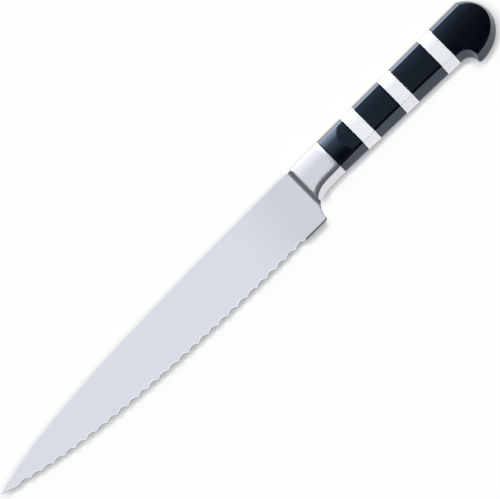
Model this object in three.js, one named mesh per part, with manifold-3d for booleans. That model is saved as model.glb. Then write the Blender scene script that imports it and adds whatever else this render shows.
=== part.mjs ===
// Serrated slicing knife with a stacked handle, in millimetres.
// The knife lies on its side: X runs from the tip to the butt, Y from the cutting edge to the spine,
// and Z is up, through the thickness. The origin is under the middle of the knife, on the surface it lies on.
//
// The blade, the bolster and the tang are one forging. Black grip blocks and steel rings are threaded on the
// tang in turn, and a nut on the tang's end clamps them to the bolster. The butt block covers the nut and is
// bonded on, lined up by two dowels in the last ring.

import * as THREE from "three";
import { mergeVertices } from "three/addons/utils/BufferGeometryUtils.js";
import Module from "manifold-3d";

const wasm = await Module();
wasm.setup();

// Blade outline. Heights and depths are measured from the handle's axis.
const BLADE_LENGTH = 210; // tip to the bolster's front
const SPINE_HEIGHT = 9.85; // spine, where it meets the bolster
const EDGE_DEPTH = 20; // cutting edge, at the heel
const TIP_DEPTH = 3.2; // point of the blade
const SPINE_STRAIGHT = 116.5; // run of spine that stays nearly straight
const SPINE_TIP_RUN = 32.3; // run and rise of the spine as it leaves the tip
const SPINE_TIP_RISE = 10.2;
const EDGE_STRAIGHT = 8; // run of edge that stays straight after the plain heel
const EDGE_TIP_RUN = 49; // run and drop of the edge as it leaves the tip
const EDGE_TIP_DROP = 19.3;
const PLAIN_HEEL = 17.3; // edge left plain in front of the bolster
const PLAIN_TIP = 9.5; // edge left plain behind the point
const HEEL_SETBACK = 2; // heel's back, in front of the bolster
const HEEL_CORNER = 1.5; // round at the heel's lower corner

// Blade thickness, at three places that set each flank's plane.
const SPINE_THICKNESS = 2.6;
const HEEL_EDGE_THICKNESS = 1.0;
const TIP_THICKNESS = 0.7;

// Scallops, ground from one side only.
const SCALLOP_PITCH = 6.57;
const SCALLOP_DEPTH = 1.5;
const GRIND_ANGLE = 20; // degrees between the grind and the blade's middle plane

// Handle outline, measured from the handle's axis.
const TOP_FRONT = 10.55; // handle's top, over the heel's back
const TOP_REAR = 11.15; // handle's top, where the butt's round starts
const BELLY_FRONT = 9.6; // belly depth under the bolster
const BELLY_WAIST = 10.45; // control depth of the belly's shallow curve
const BELLY_REAR = 11.6; // belly depth where the finger notch starts
const CHOIL_RUN = 14; // the curve from the heel's back to the belly
const CHOIL_SHARPNESS = 12;
const CHOIL_LEAN = 0.8;
const CHOIL_DROP = 2.4;
const NOTCH_SETBACK = 1.2; // notch centre, behind the butt block's front
const NOTCH_RADIUS = 5.3;
const HOOK_NOSE = 1.7; // round of the hook's corner
const HOOK_DROP = 1.5;
const BUTT_RISE = 2.5; // height that the butt's ellipse would reach above the handle's top

// Handle section: flat sides, and a bevel all round from each side to a narrow band.
const HANDLE_THICKNESS = 15;
const EDGE_BAND = 2.4;
const TOP_BEVEL = 2.1;
const BELLY_BEVEL_FRONT = 3.5;
const BELLY_BEVEL_WAIST = 5.5;
const BELLY_BEVEL_REAR = 4.9;
const BUTT_BEVEL = 1.6;
const NOTCH_BEVEL = 1.6;
const CHOIL_BEVEL = 1.2;

// Lengths along the handle.
const BOLSTER_LENGTH = 20.4;
const BOLSTER_RAMP = 2.0; // slope from the blade's flank up to the bolster's side
const BOLSTER_FOOT = 0.4; // half thickness at which that slope starts, inside the blade
const FRONT_BLOCK_LENGTH = 15.6;
const SECOND_BLOCK_LENGTH = 17.1;
const THIRD_BLOCK_LENGTH = 19.4;
const RING_LENGTH = 8.2;
const BUTT_LENGTH = 27.6;
const GLUE_LINE = 0.1; // gap between neighbours in the stack

// Tang, nut, washer and dowels.
const TANG_WIDTH = 9;
const TANG_THICKNESS = 5;
const TANG_CLEARANCE = 0.3;
const TANG_SHORTFALL = 1.5; // tang's shoulder, in front of the last ring's rear face
const THREAD_DIAMETER = 5;
const THREAD_PROTRUSION = 1.5;
const THREAD_CLEARANCE = 0.15;
const WASHER_DIAMETER = 10;
const WASHER_THICKNESS = 1;
const NUT_ACROSS_FLATS = 8;
const NUT_HEIGHT = 4;
const POCKET_CLEARANCE = 0.5;
const DOWEL_DIAMETER = 2.5;
const DOWEL_LENGTH = 10;
const DOWEL_CLEARANCE = 0.1;

// How finely curves are cut.
const CURVE_STEPS = { choil: 8, belly: 8, notch: 6, nose: 4, butt: 20, top: 1 };
const OUTLINE_STEPS = 36;
const ROUND_SIDES = 24;
const MERGE_DISTANCE = 1e-4; // closer points than this are one point
const SCALLOP_CUTTER_SIDES = 90;
const CUTTER_REACH = 16; // half length of a scallop's cutter
const OVERSHOOT = 1; // how far a cutting solid runs past what it cuts

// Finishes
const BLADE_STEEL = { color: 0xd8dae4, roughness: 0.42, metalness: 1 };
const RING_STEEL = { color: 0xe6e6ea, roughness: 0.3, metalness: 1 };
const BLACK_GRIP = { color: 0x0d1216, roughness: 0.12, metalness: 0 };
const FASTENER_STEEL = { color: 0xb4b6ba, roughness: 0.35, metalness: 1 };

// Solids

// A closed three.js geometry as a solid that can be cut and joined.
function solidOf(geometry) {
  const plain = geometry.clone();
  plain.deleteAttribute("normal");
  plain.deleteAttribute("uv");
  const merged = mergeVertices(plain, MERGE_DISTANCE);
  return new wasm.Manifold(
    new wasm.Mesh({
      numProp: 3,
      vertProperties: new Float32Array(merged.attributes.position.array),
      triVerts: new Uint32Array(merged.index.array),
    }),
  );
}

// A solid as a three.js mesh, with a flat normal on each face.
function meshOf(name, solid, finish) {
  const { vertProperties, triVerts } = solid.getMesh();
  const indexed = new THREE.BufferGeometry();
  indexed.setAttribute("position", new THREE.BufferAttribute(vertProperties, 3));
  indexed.setIndex(new THREE.BufferAttribute(triVerts, 1));
  const geometry = indexed.toNonIndexed();
  geometry.computeVertexNormals();
  const mesh = new THREE.Mesh(geometry, new THREE.MeshStandardMaterial(finish));
  mesh.name = name;
  return mesh;
}

// A box between two corners.
function boxBetween(low, high) {
  const size = high.clone().sub(low);
  const middle = low.clone().add(high).multiplyScalar(0.5);
  const box = new THREE.BoxGeometry(size.x, size.y, size.z);
  return solidOf(box.translate(middle.x, middle.y, middle.z));
}

// A round bar along X.
function barAlongX(radius, start, end, y) {
  const bar = new THREE.CylinderGeometry(radius, radius, end - start, ROUND_SIDES);
  return solidOf(bar.rotateZ(Math.PI / 2).translate((start + end) / 2, y, 0));
}

// A flat outline drawn in Y and Z, carried along X.
function prismAlongX(shape, start, end) {
  const options = { depth: end - start, bevelEnabled: false, curveSegments: ROUND_SIDES / 2 };
  const prism = new THREE.ExtrudeGeometry(shape, options);
  return solidOf(prism.rotateY(Math.PI / 2).translate(start, 0, 0));
}

// Outlines of the same number of points, stacked up in Z and skinned, with a flat cap at each end.
function stackOutlines(levels) {
  const count = levels[0].outline.length;
  const positions = levels.flatMap(({ z, outline }) => outline.flatMap((p) => [p.x, p.y, z]));
  const faces = [];
  for (let level = 0; level + 1 < levels.length; level++) {
    for (let i = 0; i < count; i++) {
      const a = level * count + i;
      const b = level * count + ((i + 1) % count);
      faces.push(a, b, b + count, a, b + count, a + count);
    }
  }
  const last = count * (levels.length - 1);
  for (const [a, b, c] of THREE.ShapeUtils.triangulateShape(levels[0].outline, [])) faces.push(c, b, a);
  for (const [a, b, c] of THREE.ShapeUtils.triangulateShape(levels.at(-1).outline, [])) {
    faces.push(a + last, b + last, c + last);
  }
  const geometry = new THREE.BufferGeometry();
  geometry.setAttribute("position", new THREE.Float32BufferAttribute(positions, 3));
  geometry.setIndex(faces);
  return solidOf(geometry);
}

// Where the pieces of the stack lie along X

function placeInStack(lengths, start) {
  const places = {};
  let x = start;
  for (const [name, length] of Object.entries(lengths)) {
    places[name] = { start: x + GLUE_LINE, end: x + GLUE_LINE + length };
    x = places[name].end;
  }
  return places;
}

const stack = placeInStack(
  {
    front_grip_block: FRONT_BLOCK_LENGTH,
    front_ring: RING_LENGTH,
    second_grip_block: SECOND_BLOCK_LENGTH,
    middle_ring: RING_LENGTH,
    third_grip_block: THIRD_BLOCK_LENGTH,
    rear_ring: RING_LENGTH,
    butt_block: BUTT_LENGTH,
  },
  BOLSTER_LENGTH,
);
const halfThickness = HANDLE_THICKNESS / 2;
const butt = stack.butt_block;
const rearRing = stack.rear_ring;
const washerStart = rearRing.end + GLUE_LINE;
const nutStart = washerStart + WASHER_THICKNESS + GLUE_LINE;
const nutEnd = nutStart + NUT_HEIGHT;
const tangEnd = rearRing.end - TANG_SHORTFALL;
const threadEnd = nutEnd + THREAD_PROTRUSION;

// Handle: one outline for the widest band and one for the flat side, from the same run of curves

const point = (x, y) => new THREE.Vector2(x, y);
const notchX = butt.start + NOTCH_SETBACK;
const hookFront = notchX + NOTCH_RADIUS;
const hookDepth = BELLY_REAR + NOTCH_RADIUS + HOOK_DROP;
const buttCentreX = hookFront + HOOK_NOSE;
const choilStart = point(-HEEL_SETBACK, -(EDGE_DEPTH - HEEL_CORNER));

function choilCurve(inset, rise) {
  return new THREE.CubicBezierCurve(
    choilStart.clone().add(point(-inset, 0)),
    point(-HEEL_SETBACK + CHOIL_LEAN - inset, -BELLY_FRONT - CHOIL_DROP + rise),
    point(CHOIL_RUN - CHOIL_SHARPNESS, -BELLY_FRONT + rise),
    point(CHOIL_RUN, -BELLY_FRONT + rise),
  );
}

// The butt's ellipse, from its lowest point round the rear to the handle's top.
function buttCurve(topInset, bellyInset, rearInset) {
  const crest = TOP_REAR + BUTT_RISE - topInset;
  const bottom = -hookDepth + bellyInset;
  const centreY = (crest + bottom) / 2;
  const radiusY = (crest - bottom) / 2;
  const topAngle = Math.asin((TOP_REAR - topInset - centreY) / radiusY);
  const radiusX = butt.end - rearInset - buttCentreX;
  return new THREE.EllipseCurve(buttCentreX, centreY, radiusX, radiusY, -Math.PI / 2, topAngle);
}

function outlineOf(curves) {
  const steps = Object.values(CURVE_STEPS);
  return curves.flatMap((curve, i) => curve.getPoints(steps[i]).slice(i === 0 ? 0 : 1));
}

function bandOutline() {
  const choil = choilCurve(0, 0);
  const notchTop = point(notchX, -BELLY_REAR);
  const waist = point((CHOIL_RUN + notchX) / 2, -BELLY_WAIST);
  const belly = new THREE.QuadraticBezierCurve(choil.v3, waist, notchTop);
  const notch = new THREE.EllipseCurve(
    notchX, -BELLY_REAR - NOTCH_RADIUS, NOTCH_RADIUS, NOTCH_RADIUS, Math.PI / 2, 0, true,
  );
  const rear = buttCurve(0, 0, 0);
  const hookCorner = point(hookFront, -hookDepth);
  const nose = new THREE.QuadraticBezierCurve(notch.getPoint(1), hookCorner, rear.getPoint(0));
  const top = new THREE.LineCurve(rear.getPoint(1), point(-HEEL_SETBACK, TOP_FRONT));
  return outlineOf([choil, belly, notch, nose, rear, top]);
}

function sideOutline() {
  const choil = choilCurve(CHOIL_BEVEL, BELLY_BEVEL_FRONT);
  const notchTop = point(notchX, -BELLY_REAR + BELLY_BEVEL_REAR);
  const waist = point((CHOIL_RUN + notchX) / 2, -BELLY_WAIST + BELLY_BEVEL_WAIST);
  const belly = new THREE.QuadraticBezierCurve(choil.v3, waist, notchTop);
  const rear = buttCurve(TOP_BEVEL, BELLY_BEVEL_REAR, BUTT_BEVEL);
  const hookCorner = point(hookFront + NOTCH_BEVEL, rear.getPoint(0).y);
  const noseRound = buttCentreX - hookCorner.x;
  const notchEnd = point(hookCorner.x, hookCorner.y + noseRound);
  const notch = new THREE.QuadraticBezierCurve(notchTop, point(hookCorner.x, notchTop.y), notchEnd);
  const nose = new THREE.QuadraticBezierCurve(notchEnd, hookCorner, rear.getPoint(0));
  const top = new THREE.LineCurve(rear.getPoint(1), point(-HEEL_SETBACK, TOP_FRONT - TOP_BEVEL));
  return outlineOf([choil, belly, notch, nose, rear, top]);
}

// The whole handle as if it were one ground block, from the heel's back to the butt.
function handleEnvelope() {
  const upper = [
    { z: EDGE_BAND / 2, outline: bandOutline() },
    { z: halfThickness, outline: sideOutline() },
  ];
  const lower = upper.map(({ z, outline }) => ({ z: -z, outline })).reverse();
  return stackOutlines([...lower, ...upper]);
}

const envelope = handleEnvelope();

// The slice of the handle that one piece of the stack takes up.
function sliceOf(place) {
  const reach = TOP_REAR + hookDepth;
  return envelope.intersect(
    boxBetween(
      new THREE.Vector3(place.start, -reach, -halfThickness - OVERSHOOT),
      new THREE.Vector3(place.end, reach, halfThickness + OVERSHOOT),
    ),
  );
}

// Blade

const tip = point(-BLADE_LENGTH, -TIP_DEPTH);
const spineCurve = new THREE.CubicBezierCurve(
  point(0, SPINE_HEIGHT),
  point(-SPINE_STRAIGHT, SPINE_HEIGHT),
  point(tip.x + SPINE_TIP_RUN, tip.y + SPINE_TIP_RISE),
  tip,
);
const edgeCurve = new THREE.CubicBezierCurve(
  point(-PLAIN_HEEL, -EDGE_DEPTH),
  point(-PLAIN_HEEL - EDGE_STRAIGHT, -EDGE_DEPTH),
  point(tip.x + EDGE_TIP_RUN, tip.y - EDGE_TIP_DROP),
  tip,
);

// Half the blade's thickness: a plane through the spine and the edge at the bolster, and the tip.
function flankHeight(x, y) {
  const spine = SPINE_THICKNESS / 2;
  const edge = HEEL_EDGE_THICKNESS / 2;
  const acrossSlope = (spine - edge) / (SPINE_HEIGHT + EDGE_DEPTH);
  const aboveTip = spine - acrossSlope * (SPINE_HEIGHT + TIP_DEPTH);
  const alongSlope = (aboveTip - TIP_THICKNESS / 2) / BLADE_LENGTH;
  return spine - acrossSlope * (SPINE_HEIGHT - y) + alongSlope * x;
}

// The blade before the edge is ground, with a root that runs into the bolster.
function bladeBlank() {
  const heelX = -HEEL_SETBACK;
  const choil = choilCurve(0, 0);
  const outline = new THREE.Shape();
  const curveTo = (...points) => outline.bezierCurveTo(...points.flatMap((p) => [p.x, p.y]));
  outline.moveTo(edgeCurve.v0.x, edgeCurve.v0.y);
  outline.lineTo(heelX - HEEL_CORNER, -EDGE_DEPTH);
  outline.quadraticCurveTo(heelX, -EDGE_DEPTH, choilStart.x, choilStart.y);
  curveTo(choil.v1, choil.v2, choil.v3);
  outline.lineTo(CHOIL_RUN, SPINE_HEIGHT);
  outline.lineTo(0, SPINE_HEIGHT);
  curveTo(spineCurve.v1, spineCurve.v2, tip);
  curveTo(edgeCurve.v2, edgeCurve.v1, edgeCurve.v0);
  const options = { depth: 1, bevelEnabled: false, curveSegments: OUTLINE_STEPS };
  const blank = new THREE.ExtrudeGeometry(outline, options);
  const place = blank.attributes.position;
  for (let i = 0; i < place.count; i++) {
    const side = place.getZ(i) > 0 ? 1 : -1;
    place.setZ(i, side * flankHeight(place.getX(i), place.getY(i)));
  }
  return solidOf(blank);
}

// Turns a cutter so that its X runs along the edge and its Y up the grind, and sets it on the edge.
// The grind starts on the upper flank at the given depth and runs out of the lower flank, further up.
function placeCutter(cutter, along, depth, standOff) {
  const share = along / edgeCurve.getLength();
  const edgePoint = edgeCurve.getPointAt(share);
  const edgeTangent = edgeCurve.getTangentAt(share);
  const tangent = new THREE.Vector3(edgeTangent.x, edgeTangent.y, 0);
  const inward = new THREE.Vector3(edgeTangent.y, -edgeTangent.x, 0);
  const angle = THREE.MathUtils.degToRad(GRIND_ANGLE);
  const upGrind = inward.clone().multiplyScalar(Math.cos(angle)).setZ(-Math.sin(angle));
  const offBlade = new THREE.Vector3().crossVectors(tangent, upGrind);
  const apex = new THREE.Vector3(edgePoint.x, edgePoint.y, 0).addScaledVector(inward, depth);
  apex.z = flankHeight(apex.x, apex.y);
  apex.addScaledVector(offBlade, standOff);
  const turn = new THREE.Matrix4().makeBasis(tangent, upGrind, offBlade).setPosition(apex);
  return solidOf(cutter.applyMatrix4(turn));
}

// The radius that cuts a scallop of the stated pitch and depth when it is held at the grind's angle.
function scallopRadius() {
  const sagitta = SCALLOP_DEPTH * Math.sin(THREE.MathUtils.degToRad(GRIND_ANGLE));
  return ((SCALLOP_PITCH / 2) ** 2 + sagitta ** 2) / (2 * sagitta);
}

function groundBlade() {
  const edgeLength = edgeCurve.getLength();
  const radius = scallopRadius();
  const count = Math.floor((edgeLength - PLAIN_TIP) / SCALLOP_PITCH);
  let blade = bladeBlank();
  for (let i = 0; i < count; i++) {
    const cutter = new THREE.CylinderGeometry(radius, radius, 2 * CUTTER_REACH, SCALLOP_CUTTER_SIDES);
    blade = blade.subtract(placeCutter(cutter, (i + 0.5) * SCALLOP_PITCH, SCALLOP_DEPTH, radius));
  }
  const tipLength = edgeLength - count * SCALLOP_PITCH;
  const plane = new THREE.BoxGeometry(tipLength + OVERSHOOT, 2 * CUTTER_REACH, 2 * OVERSHOOT);
  plane.translate(OVERSHOOT / 2, 0, 0);
  return blade.subtract(placeCutter(plane, edgeLength - tipLength / 2, 0, OVERSHOOT));
}

// Bolster and tang, forged in one with the blade

function bolster() {
  const wide = halfThickness + OVERSHOOT;
  const slope = (halfThickness - BOLSTER_FOOT) / BOLSTER_RAMP;
  const rampEnd = (wide - BOLSTER_FOOT) / slope;
  const plan = new THREE.Shape([
    point(0, -BOLSTER_FOOT),
    point(rampEnd, -wide),
    point(BOLSTER_LENGTH, -wide),
    point(BOLSTER_LENGTH, wide),
    point(rampEnd, wide),
    point(0, BOLSTER_FOOT),
  ]);
  const reach = TOP_REAR + EDGE_DEPTH;
  const prism = new THREE.ExtrudeGeometry(plan, { depth: 2 * reach, bevelEnabled: false });
  return envelope.intersect(solidOf(prism.rotateX(Math.PI / 2).translate(0, reach, 0)));
}

function tang() {
  const y = TANG_WIDTH / 2;
  const z = TANG_THICKNESS / 2;
  const root = BOLSTER_LENGTH - OVERSHOOT;
  const bar = boxBetween(new THREE.Vector3(root, -y, -z), new THREE.Vector3(tangEnd, y, z));
  return bar.add(barAlongX(THREAD_DIAMETER / 2, tangEnd - OVERSHOOT, threadEnd, 0));
}

function forgedBlade() {
  return groundBlade().add(bolster()).add(tang());
}

// Stacked pieces

function tangSlot(place) {
  const y = TANG_WIDTH / 2 + TANG_CLEARANCE;
  const z = TANG_THICKNESS / 2 + TANG_CLEARANCE;
  return boxBetween(
    new THREE.Vector3(place.start - OVERSHOOT, -y, -z),
    new THREE.Vector3(place.end + OVERSHOOT, y, z),
  );
}

const nutCorner = NUT_ACROSS_FLATS / 2 / Math.cos(Math.PI / 6);
const pocketRadius = Math.max(WASHER_DIAMETER / 2, nutCorner) + POCKET_CLEARANCE;
const dowelPlaces = {
  upper_dowel: (TOP_REAR + pocketRadius) / 2,
  lower_dowel: -(BELLY_REAR + pocketRadius) / 2,
};
const dowelStart = rearRing.end - DOWEL_LENGTH / 2;
const dowelEnd = dowelStart + DOWEL_LENGTH;

function dowelHoles() {
  const radius = DOWEL_DIAMETER / 2 + DOWEL_CLEARANCE;
  const [upper, lower] = Object.values(dowelPlaces).map((y) =>
    barAlongX(radius, dowelStart - DOWEL_CLEARANCE, dowelEnd + DOWEL_CLEARANCE, y),
  );
  return upper.add(lower);
}

function stackedPiece(name) {
  const place = stack[name];
  return sliceOf(place).subtract(tangSlot(place));
}

function buttBlock() {
  const pocket = barAlongX(pocketRadius, butt.start - OVERSHOOT, nutEnd + POCKET_CLEARANCE, 0);
  const threadHole = barAlongX(
    THREAD_DIAMETER / 2 + TANG_CLEARANCE, butt.start - OVERSHOOT, threadEnd + POCKET_CLEARANCE, 0,
  );
  return sliceOf(butt).subtract(pocket).subtract(threadHole).subtract(dowelHoles());
}

// Nut and washer: an outline with the thread's clearance hole through it.
function clampPiece(outline, start, end) {
  const hole = new THREE.Path();
  hole.absarc(0, 0, THREAD_DIAMETER / 2 + THREAD_CLEARANCE, 0, 2 * Math.PI, true);
  outline.holes.push(hole);
  return prismAlongX(outline, start, end);
}

function clampWasher() {
  const rim = new THREE.Shape().absarc(0, 0, WASHER_DIAMETER / 2, 0, 2 * Math.PI, false);
  return clampPiece(rim, washerStart, washerStart + WASHER_THICKNESS);
}

function clampNut() {
  const middle = point(0, 0);
  const corner = (i) => point(nutCorner, 0).rotateAround(middle, (i * Math.PI) / 3);
  const hexagon = new THREE.Shape([0, 1, 2, 3, 4, 5].map(corner));
  return clampPiece(hexagon, nutStart, nutEnd);
}

// Assembly

const assembly = new THREE.Group();
assembly.add(
  meshOf("forged_blade", forgedBlade(), BLADE_STEEL),
  meshOf("front_grip_block", stackedPiece("front_grip_block"), BLACK_GRIP),
  meshOf("front_ring", stackedPiece("front_ring"), RING_STEEL),
  meshOf("second_grip_block", stackedPiece("second_grip_block"), BLACK_GRIP),
  meshOf("middle_ring", stackedPiece("middle_ring"), RING_STEEL),
  meshOf("third_grip_block", stackedPiece("third_grip_block"), BLACK_GRIP),
  meshOf("rear_ring", stackedPiece("rear_ring").subtract(dowelHoles()), RING_STEEL),
  meshOf("butt_block", buttBlock(), BLACK_GRIP),
  meshOf("clamp_washer", clampWasher(), FASTENER_STEEL),
  meshOf("clamp_nut", clampNut(), FASTENER_STEEL),
);
for (const [name, y] of Object.entries(dowelPlaces)) {
  assembly.add(meshOf(name, barAlongX(DOWEL_DIAMETER / 2, dowelStart, dowelEnd, y), FASTENER_STEEL));
}

// Set the origin under the middle of the knife, on the surface that its side lies on.
const extent = new THREE.Box3().setFromObject(assembly);
const middle = extent.getCenter(new THREE.Vector3());
assembly.position.set(-middle.x, -middle.y, -extent.min.z);

const knife = new THREE.Group();
knife.add(assembly);
export default knife;
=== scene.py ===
"""Serrated slicing knife with a stacked handle of black blocks and steel rings, lying on a pale floor.

The file is laid out as an add-on and run as a script. All lengths are metres. The knife's own places are
measured from the bolster's front, on the handle's axis and the blade's middle plane: X runs to the butt and
Y to the spine.
"""

import math

import bpy
import numpy as np
from bpy.props import FloatProperty, FloatVectorProperty, PointerProperty
from mathutils import Matrix, Vector


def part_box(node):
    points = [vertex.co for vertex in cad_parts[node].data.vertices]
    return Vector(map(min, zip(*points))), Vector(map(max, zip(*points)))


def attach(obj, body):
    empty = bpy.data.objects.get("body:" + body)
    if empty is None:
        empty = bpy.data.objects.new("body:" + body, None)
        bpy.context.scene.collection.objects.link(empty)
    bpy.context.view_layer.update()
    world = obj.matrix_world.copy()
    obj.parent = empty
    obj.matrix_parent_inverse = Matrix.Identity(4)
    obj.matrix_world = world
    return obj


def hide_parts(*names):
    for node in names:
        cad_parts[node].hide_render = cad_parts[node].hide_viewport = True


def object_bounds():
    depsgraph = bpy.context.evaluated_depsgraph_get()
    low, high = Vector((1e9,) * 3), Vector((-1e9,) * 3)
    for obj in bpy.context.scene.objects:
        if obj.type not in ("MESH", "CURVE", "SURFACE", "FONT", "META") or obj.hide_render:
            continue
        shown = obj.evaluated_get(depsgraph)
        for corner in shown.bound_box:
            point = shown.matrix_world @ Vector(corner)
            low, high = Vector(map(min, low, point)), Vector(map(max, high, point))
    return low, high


bl_info = {
    "name": "Serrated Slicing Knife",
    "version": (1, 0, 0),
    "blender": (4, 5, 0),
    "location": "3D View > Sidebar > Knife",
    "description": "Builds a serrated slicing knife with a stacked handle around its packed model",
    "category": "Object",
}

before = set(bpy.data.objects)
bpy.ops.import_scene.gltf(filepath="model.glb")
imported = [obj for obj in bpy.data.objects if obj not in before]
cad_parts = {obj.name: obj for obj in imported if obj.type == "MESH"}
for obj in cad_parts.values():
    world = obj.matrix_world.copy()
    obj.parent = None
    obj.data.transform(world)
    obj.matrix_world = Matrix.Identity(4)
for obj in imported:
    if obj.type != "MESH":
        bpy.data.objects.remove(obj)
CAD_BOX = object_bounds()

MM = 0.001
BODY = "root"
GRIP_BLOCKS = ("front_grip_block", "second_grip_block", "third_grip_block")
RINGS = ("front_ring", "middle_ring", "rear_ring")
FASTENERS = ("clamp_washer", "clamp_nut", "upper_dowel", "lower_dowel")

RING_LOW, RING_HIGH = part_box("front_ring")

# How finely curves are sampled, and how straight runs are cut.
CURVE_SAMPLES = 4000
NEAR_END = 0.015  # share of a flat run at which a supporting line stands beside each of its ends

# Ribs along the blade, from the root to the tip.
CHOIL_RIBS = 30
CORNER_RIBS = 14
HEEL_RIBS = 8
FADE_RIBS = 16
RIBS_PER_SCALLOP = 20
TIP_RIBS = 40

# Lines across the blade.
SHOWN_FLANK_LINES = 22
HIDDEN_FLANK_LINES = 7
SPINE_STEPS = 4

# Lines on the bolster, the tang, the blocks and the rings.
CREASE_STEPS = 7
BEVEL_LINES = 3
RIM_STEPS = 5
FILLET_STEPS = 20
FRONT_WALL_LINES = 4
FRONT_EDGE_STEPS = 8
BOLSTER_LINES = 44
TANG_COLUMNS = 64
BLOCK_STATIONS = 60
BLOCK_COLUMNS = 64
RING_LINES = 24

# Points round the butt's outline, and rings of points across its flat side.
BUTT_BELLY_POINTS = 6
NOTCH_POINTS = 30
HOOK_POINTS = 20
BUTT_REAR_POINTS = 90
BUTT_TOP_POINTS = 12
BUTT_FRONT_POINTS = 20
BUTT_RINGS = 12

# Largest shares of a rib that its strips may take where the blade runs out to the tip.
EDGE_SHARE = 0.3
HONE_SHARE = 0.2
SPINE_SHARE = 0.35
GRIND_SHARE = 0.5

# Largest shares of the blade's half thickness that its bevels may take.
BEVEL_SHARE = 0.8
HONE_DEPTH_SHARE = 0.3
HEEL_DEPTH_SHARE = 0.7

# Largest shares of a run that the round of a corner may take.
SIDE_ROUND_SHARE = 0.2
BUTT_ROUND_SHARE = 0.4
CORNER_SHARE = 0.45

BLADE_CREASE_ANGLE = math.radians(14)  # turn from which an edge of the blade is shaded sharp
HANDLE_CREASE_ANGLE = math.radians(35)  # the same for the handle's pieces
FILLET_ANGLE = math.radians(48)  # how far round the hollow in front of the bolster goes
HEEL_PAINTED_SHADE_SHARE = 0.6  # share of the painted shade on the edge's own line that the top of the heel's bevel also gets
ADHESIVE = 0.1 * MM  # film between the stacked pieces
FLOOR_GAP = 0.02 * MM  # floor below the knife, so that no two faces lie in one plane
TINY = 1e-12  # stands for a length of nought where something is divided by it

# Detail of the noise behind the finishes, and its roughness.
FINE, MEDIUM, BROAD, PLAIN = 5.0, 4.0, 3.0, 2.0
GRAIN_ROUGHNESS = 0.6

# Sockets of a Mix node that is set to colours.
MIX_A, MIX_B, MIX_COLOUR = 6, 7, 2


def length(name, description, millimetres):
    """A length property, written in millimetres and kept in metres."""
    default = millimetres * MM
    return FloatProperty(name=name, description=description, default=default, unit="LENGTH", precision=5)


def number(name, description, default):
    """A property that is a plain number."""
    return FloatProperty(name=name, description=description, default=default)


def share(name, description, default):
    """A property that is a plain number from nought to one."""
    return FloatProperty(name=name, description=description, default=default, min=0, max=1, subtype="FACTOR")


def angle(name, description, degrees):
    """An angle property, written in degrees and kept in radians."""
    return FloatProperty(name=name, description=description, default=math.radians(degrees), subtype="ANGLE")


def colour(name, description, default):
    """A colour property, as linear red, green and blue."""
    return FloatVectorProperty(
        name=name, description=description, default=default, subtype="COLOR", size=3, min=0, max=1
    )


class BladeSizes(bpy.types.PropertyGroup):
    """Outline, thickness and grind of the blade."""

    length: length("Length", "Tip to the bolster's front", 210)
    spine_height: length("Spine height", "Spine above the handle's axis, at the bolster", 9.85)
    edge_depth: length("Edge depth", "Cutting edge below the axis, at the heel", 20)
    tip_depth: length("Tip depth", "Point below the axis", 3.2)
    spine_straight: length("Straight spine", "Run of spine that stays nearly straight", 116.5)
    spine_tip_run: length("Spine run at tip", "Run of the spine as it leaves the tip", 32.3)
    spine_tip_rise: length("Spine rise at tip", "Rise of the spine as it leaves the tip", 10.2)
    edge_straight: length("Straight edge", "Run of edge that stays straight after the plain heel", 8)
    edge_tip_run: length("Edge run at tip", "Run of the edge as it leaves the tip", 49)
    edge_tip_drop: length("Edge drop at tip", "Drop of the edge as it leaves the tip", 19.3)
    plain_heel: length("Plain heel", "Edge left plain in front of the bolster", 17.3)
    plain_tip: length("Plain tip", "Edge left plain behind the point", 9.5)
    heel_setback: length("Heel setback", "Heel's back, in front of the bolster", 2)
    heel_corner: length("Heel corner", "Round at the heel's lower corner", 1.5)
    root: length("Root", "Run of the blade inside the bolster", 5)
    spine_thickness: length("Spine thickness", "Thickness at the spine, by the bolster", 2.6)
    heel_thickness: length("Heel thickness", "Thickness at the plain heel's edge", 1.0)
    tip_thickness: length("Tip thickness", "Thickness at the point", 0.7)
    spine_round: length("Spine round", "Round along the spine's corners", 0.03)
    scallop_pitch: length("Scallop pitch", "Distance from cusp to cusp", 6.57)
    scallop_depth: length("Scallop depth", "Depth of a scallop behind its cusps", 1.5)
    grind_angle: angle("Grind angle", "Angle between the scallops' grind and the blade", 20)
    edge_land: length("Edge land", "Edge honed back from the line through the cusps", 0.09)
    hone_width: length("Hone width", "Width of the fine bevel on the shown flank", 0.5)
    hone_depth: length("Hone depth", "Depth of the fine bevel on the shown flank", 0.03)
    heel_hone_width: length("Heel hone width", "Width of the bevel along the plain heel", 0.8)
    heel_hone_depth: length("Heel hone depth", "Depth of the bevel along the plain heel", 0.48)
    back_bevel_width: length("Back bevel width", "Width of the bevel up the heel's back", 0.5)
    back_bevel_depth: length("Back bevel depth", "Depth of the bevel up the heel's back", 0.55)


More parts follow.
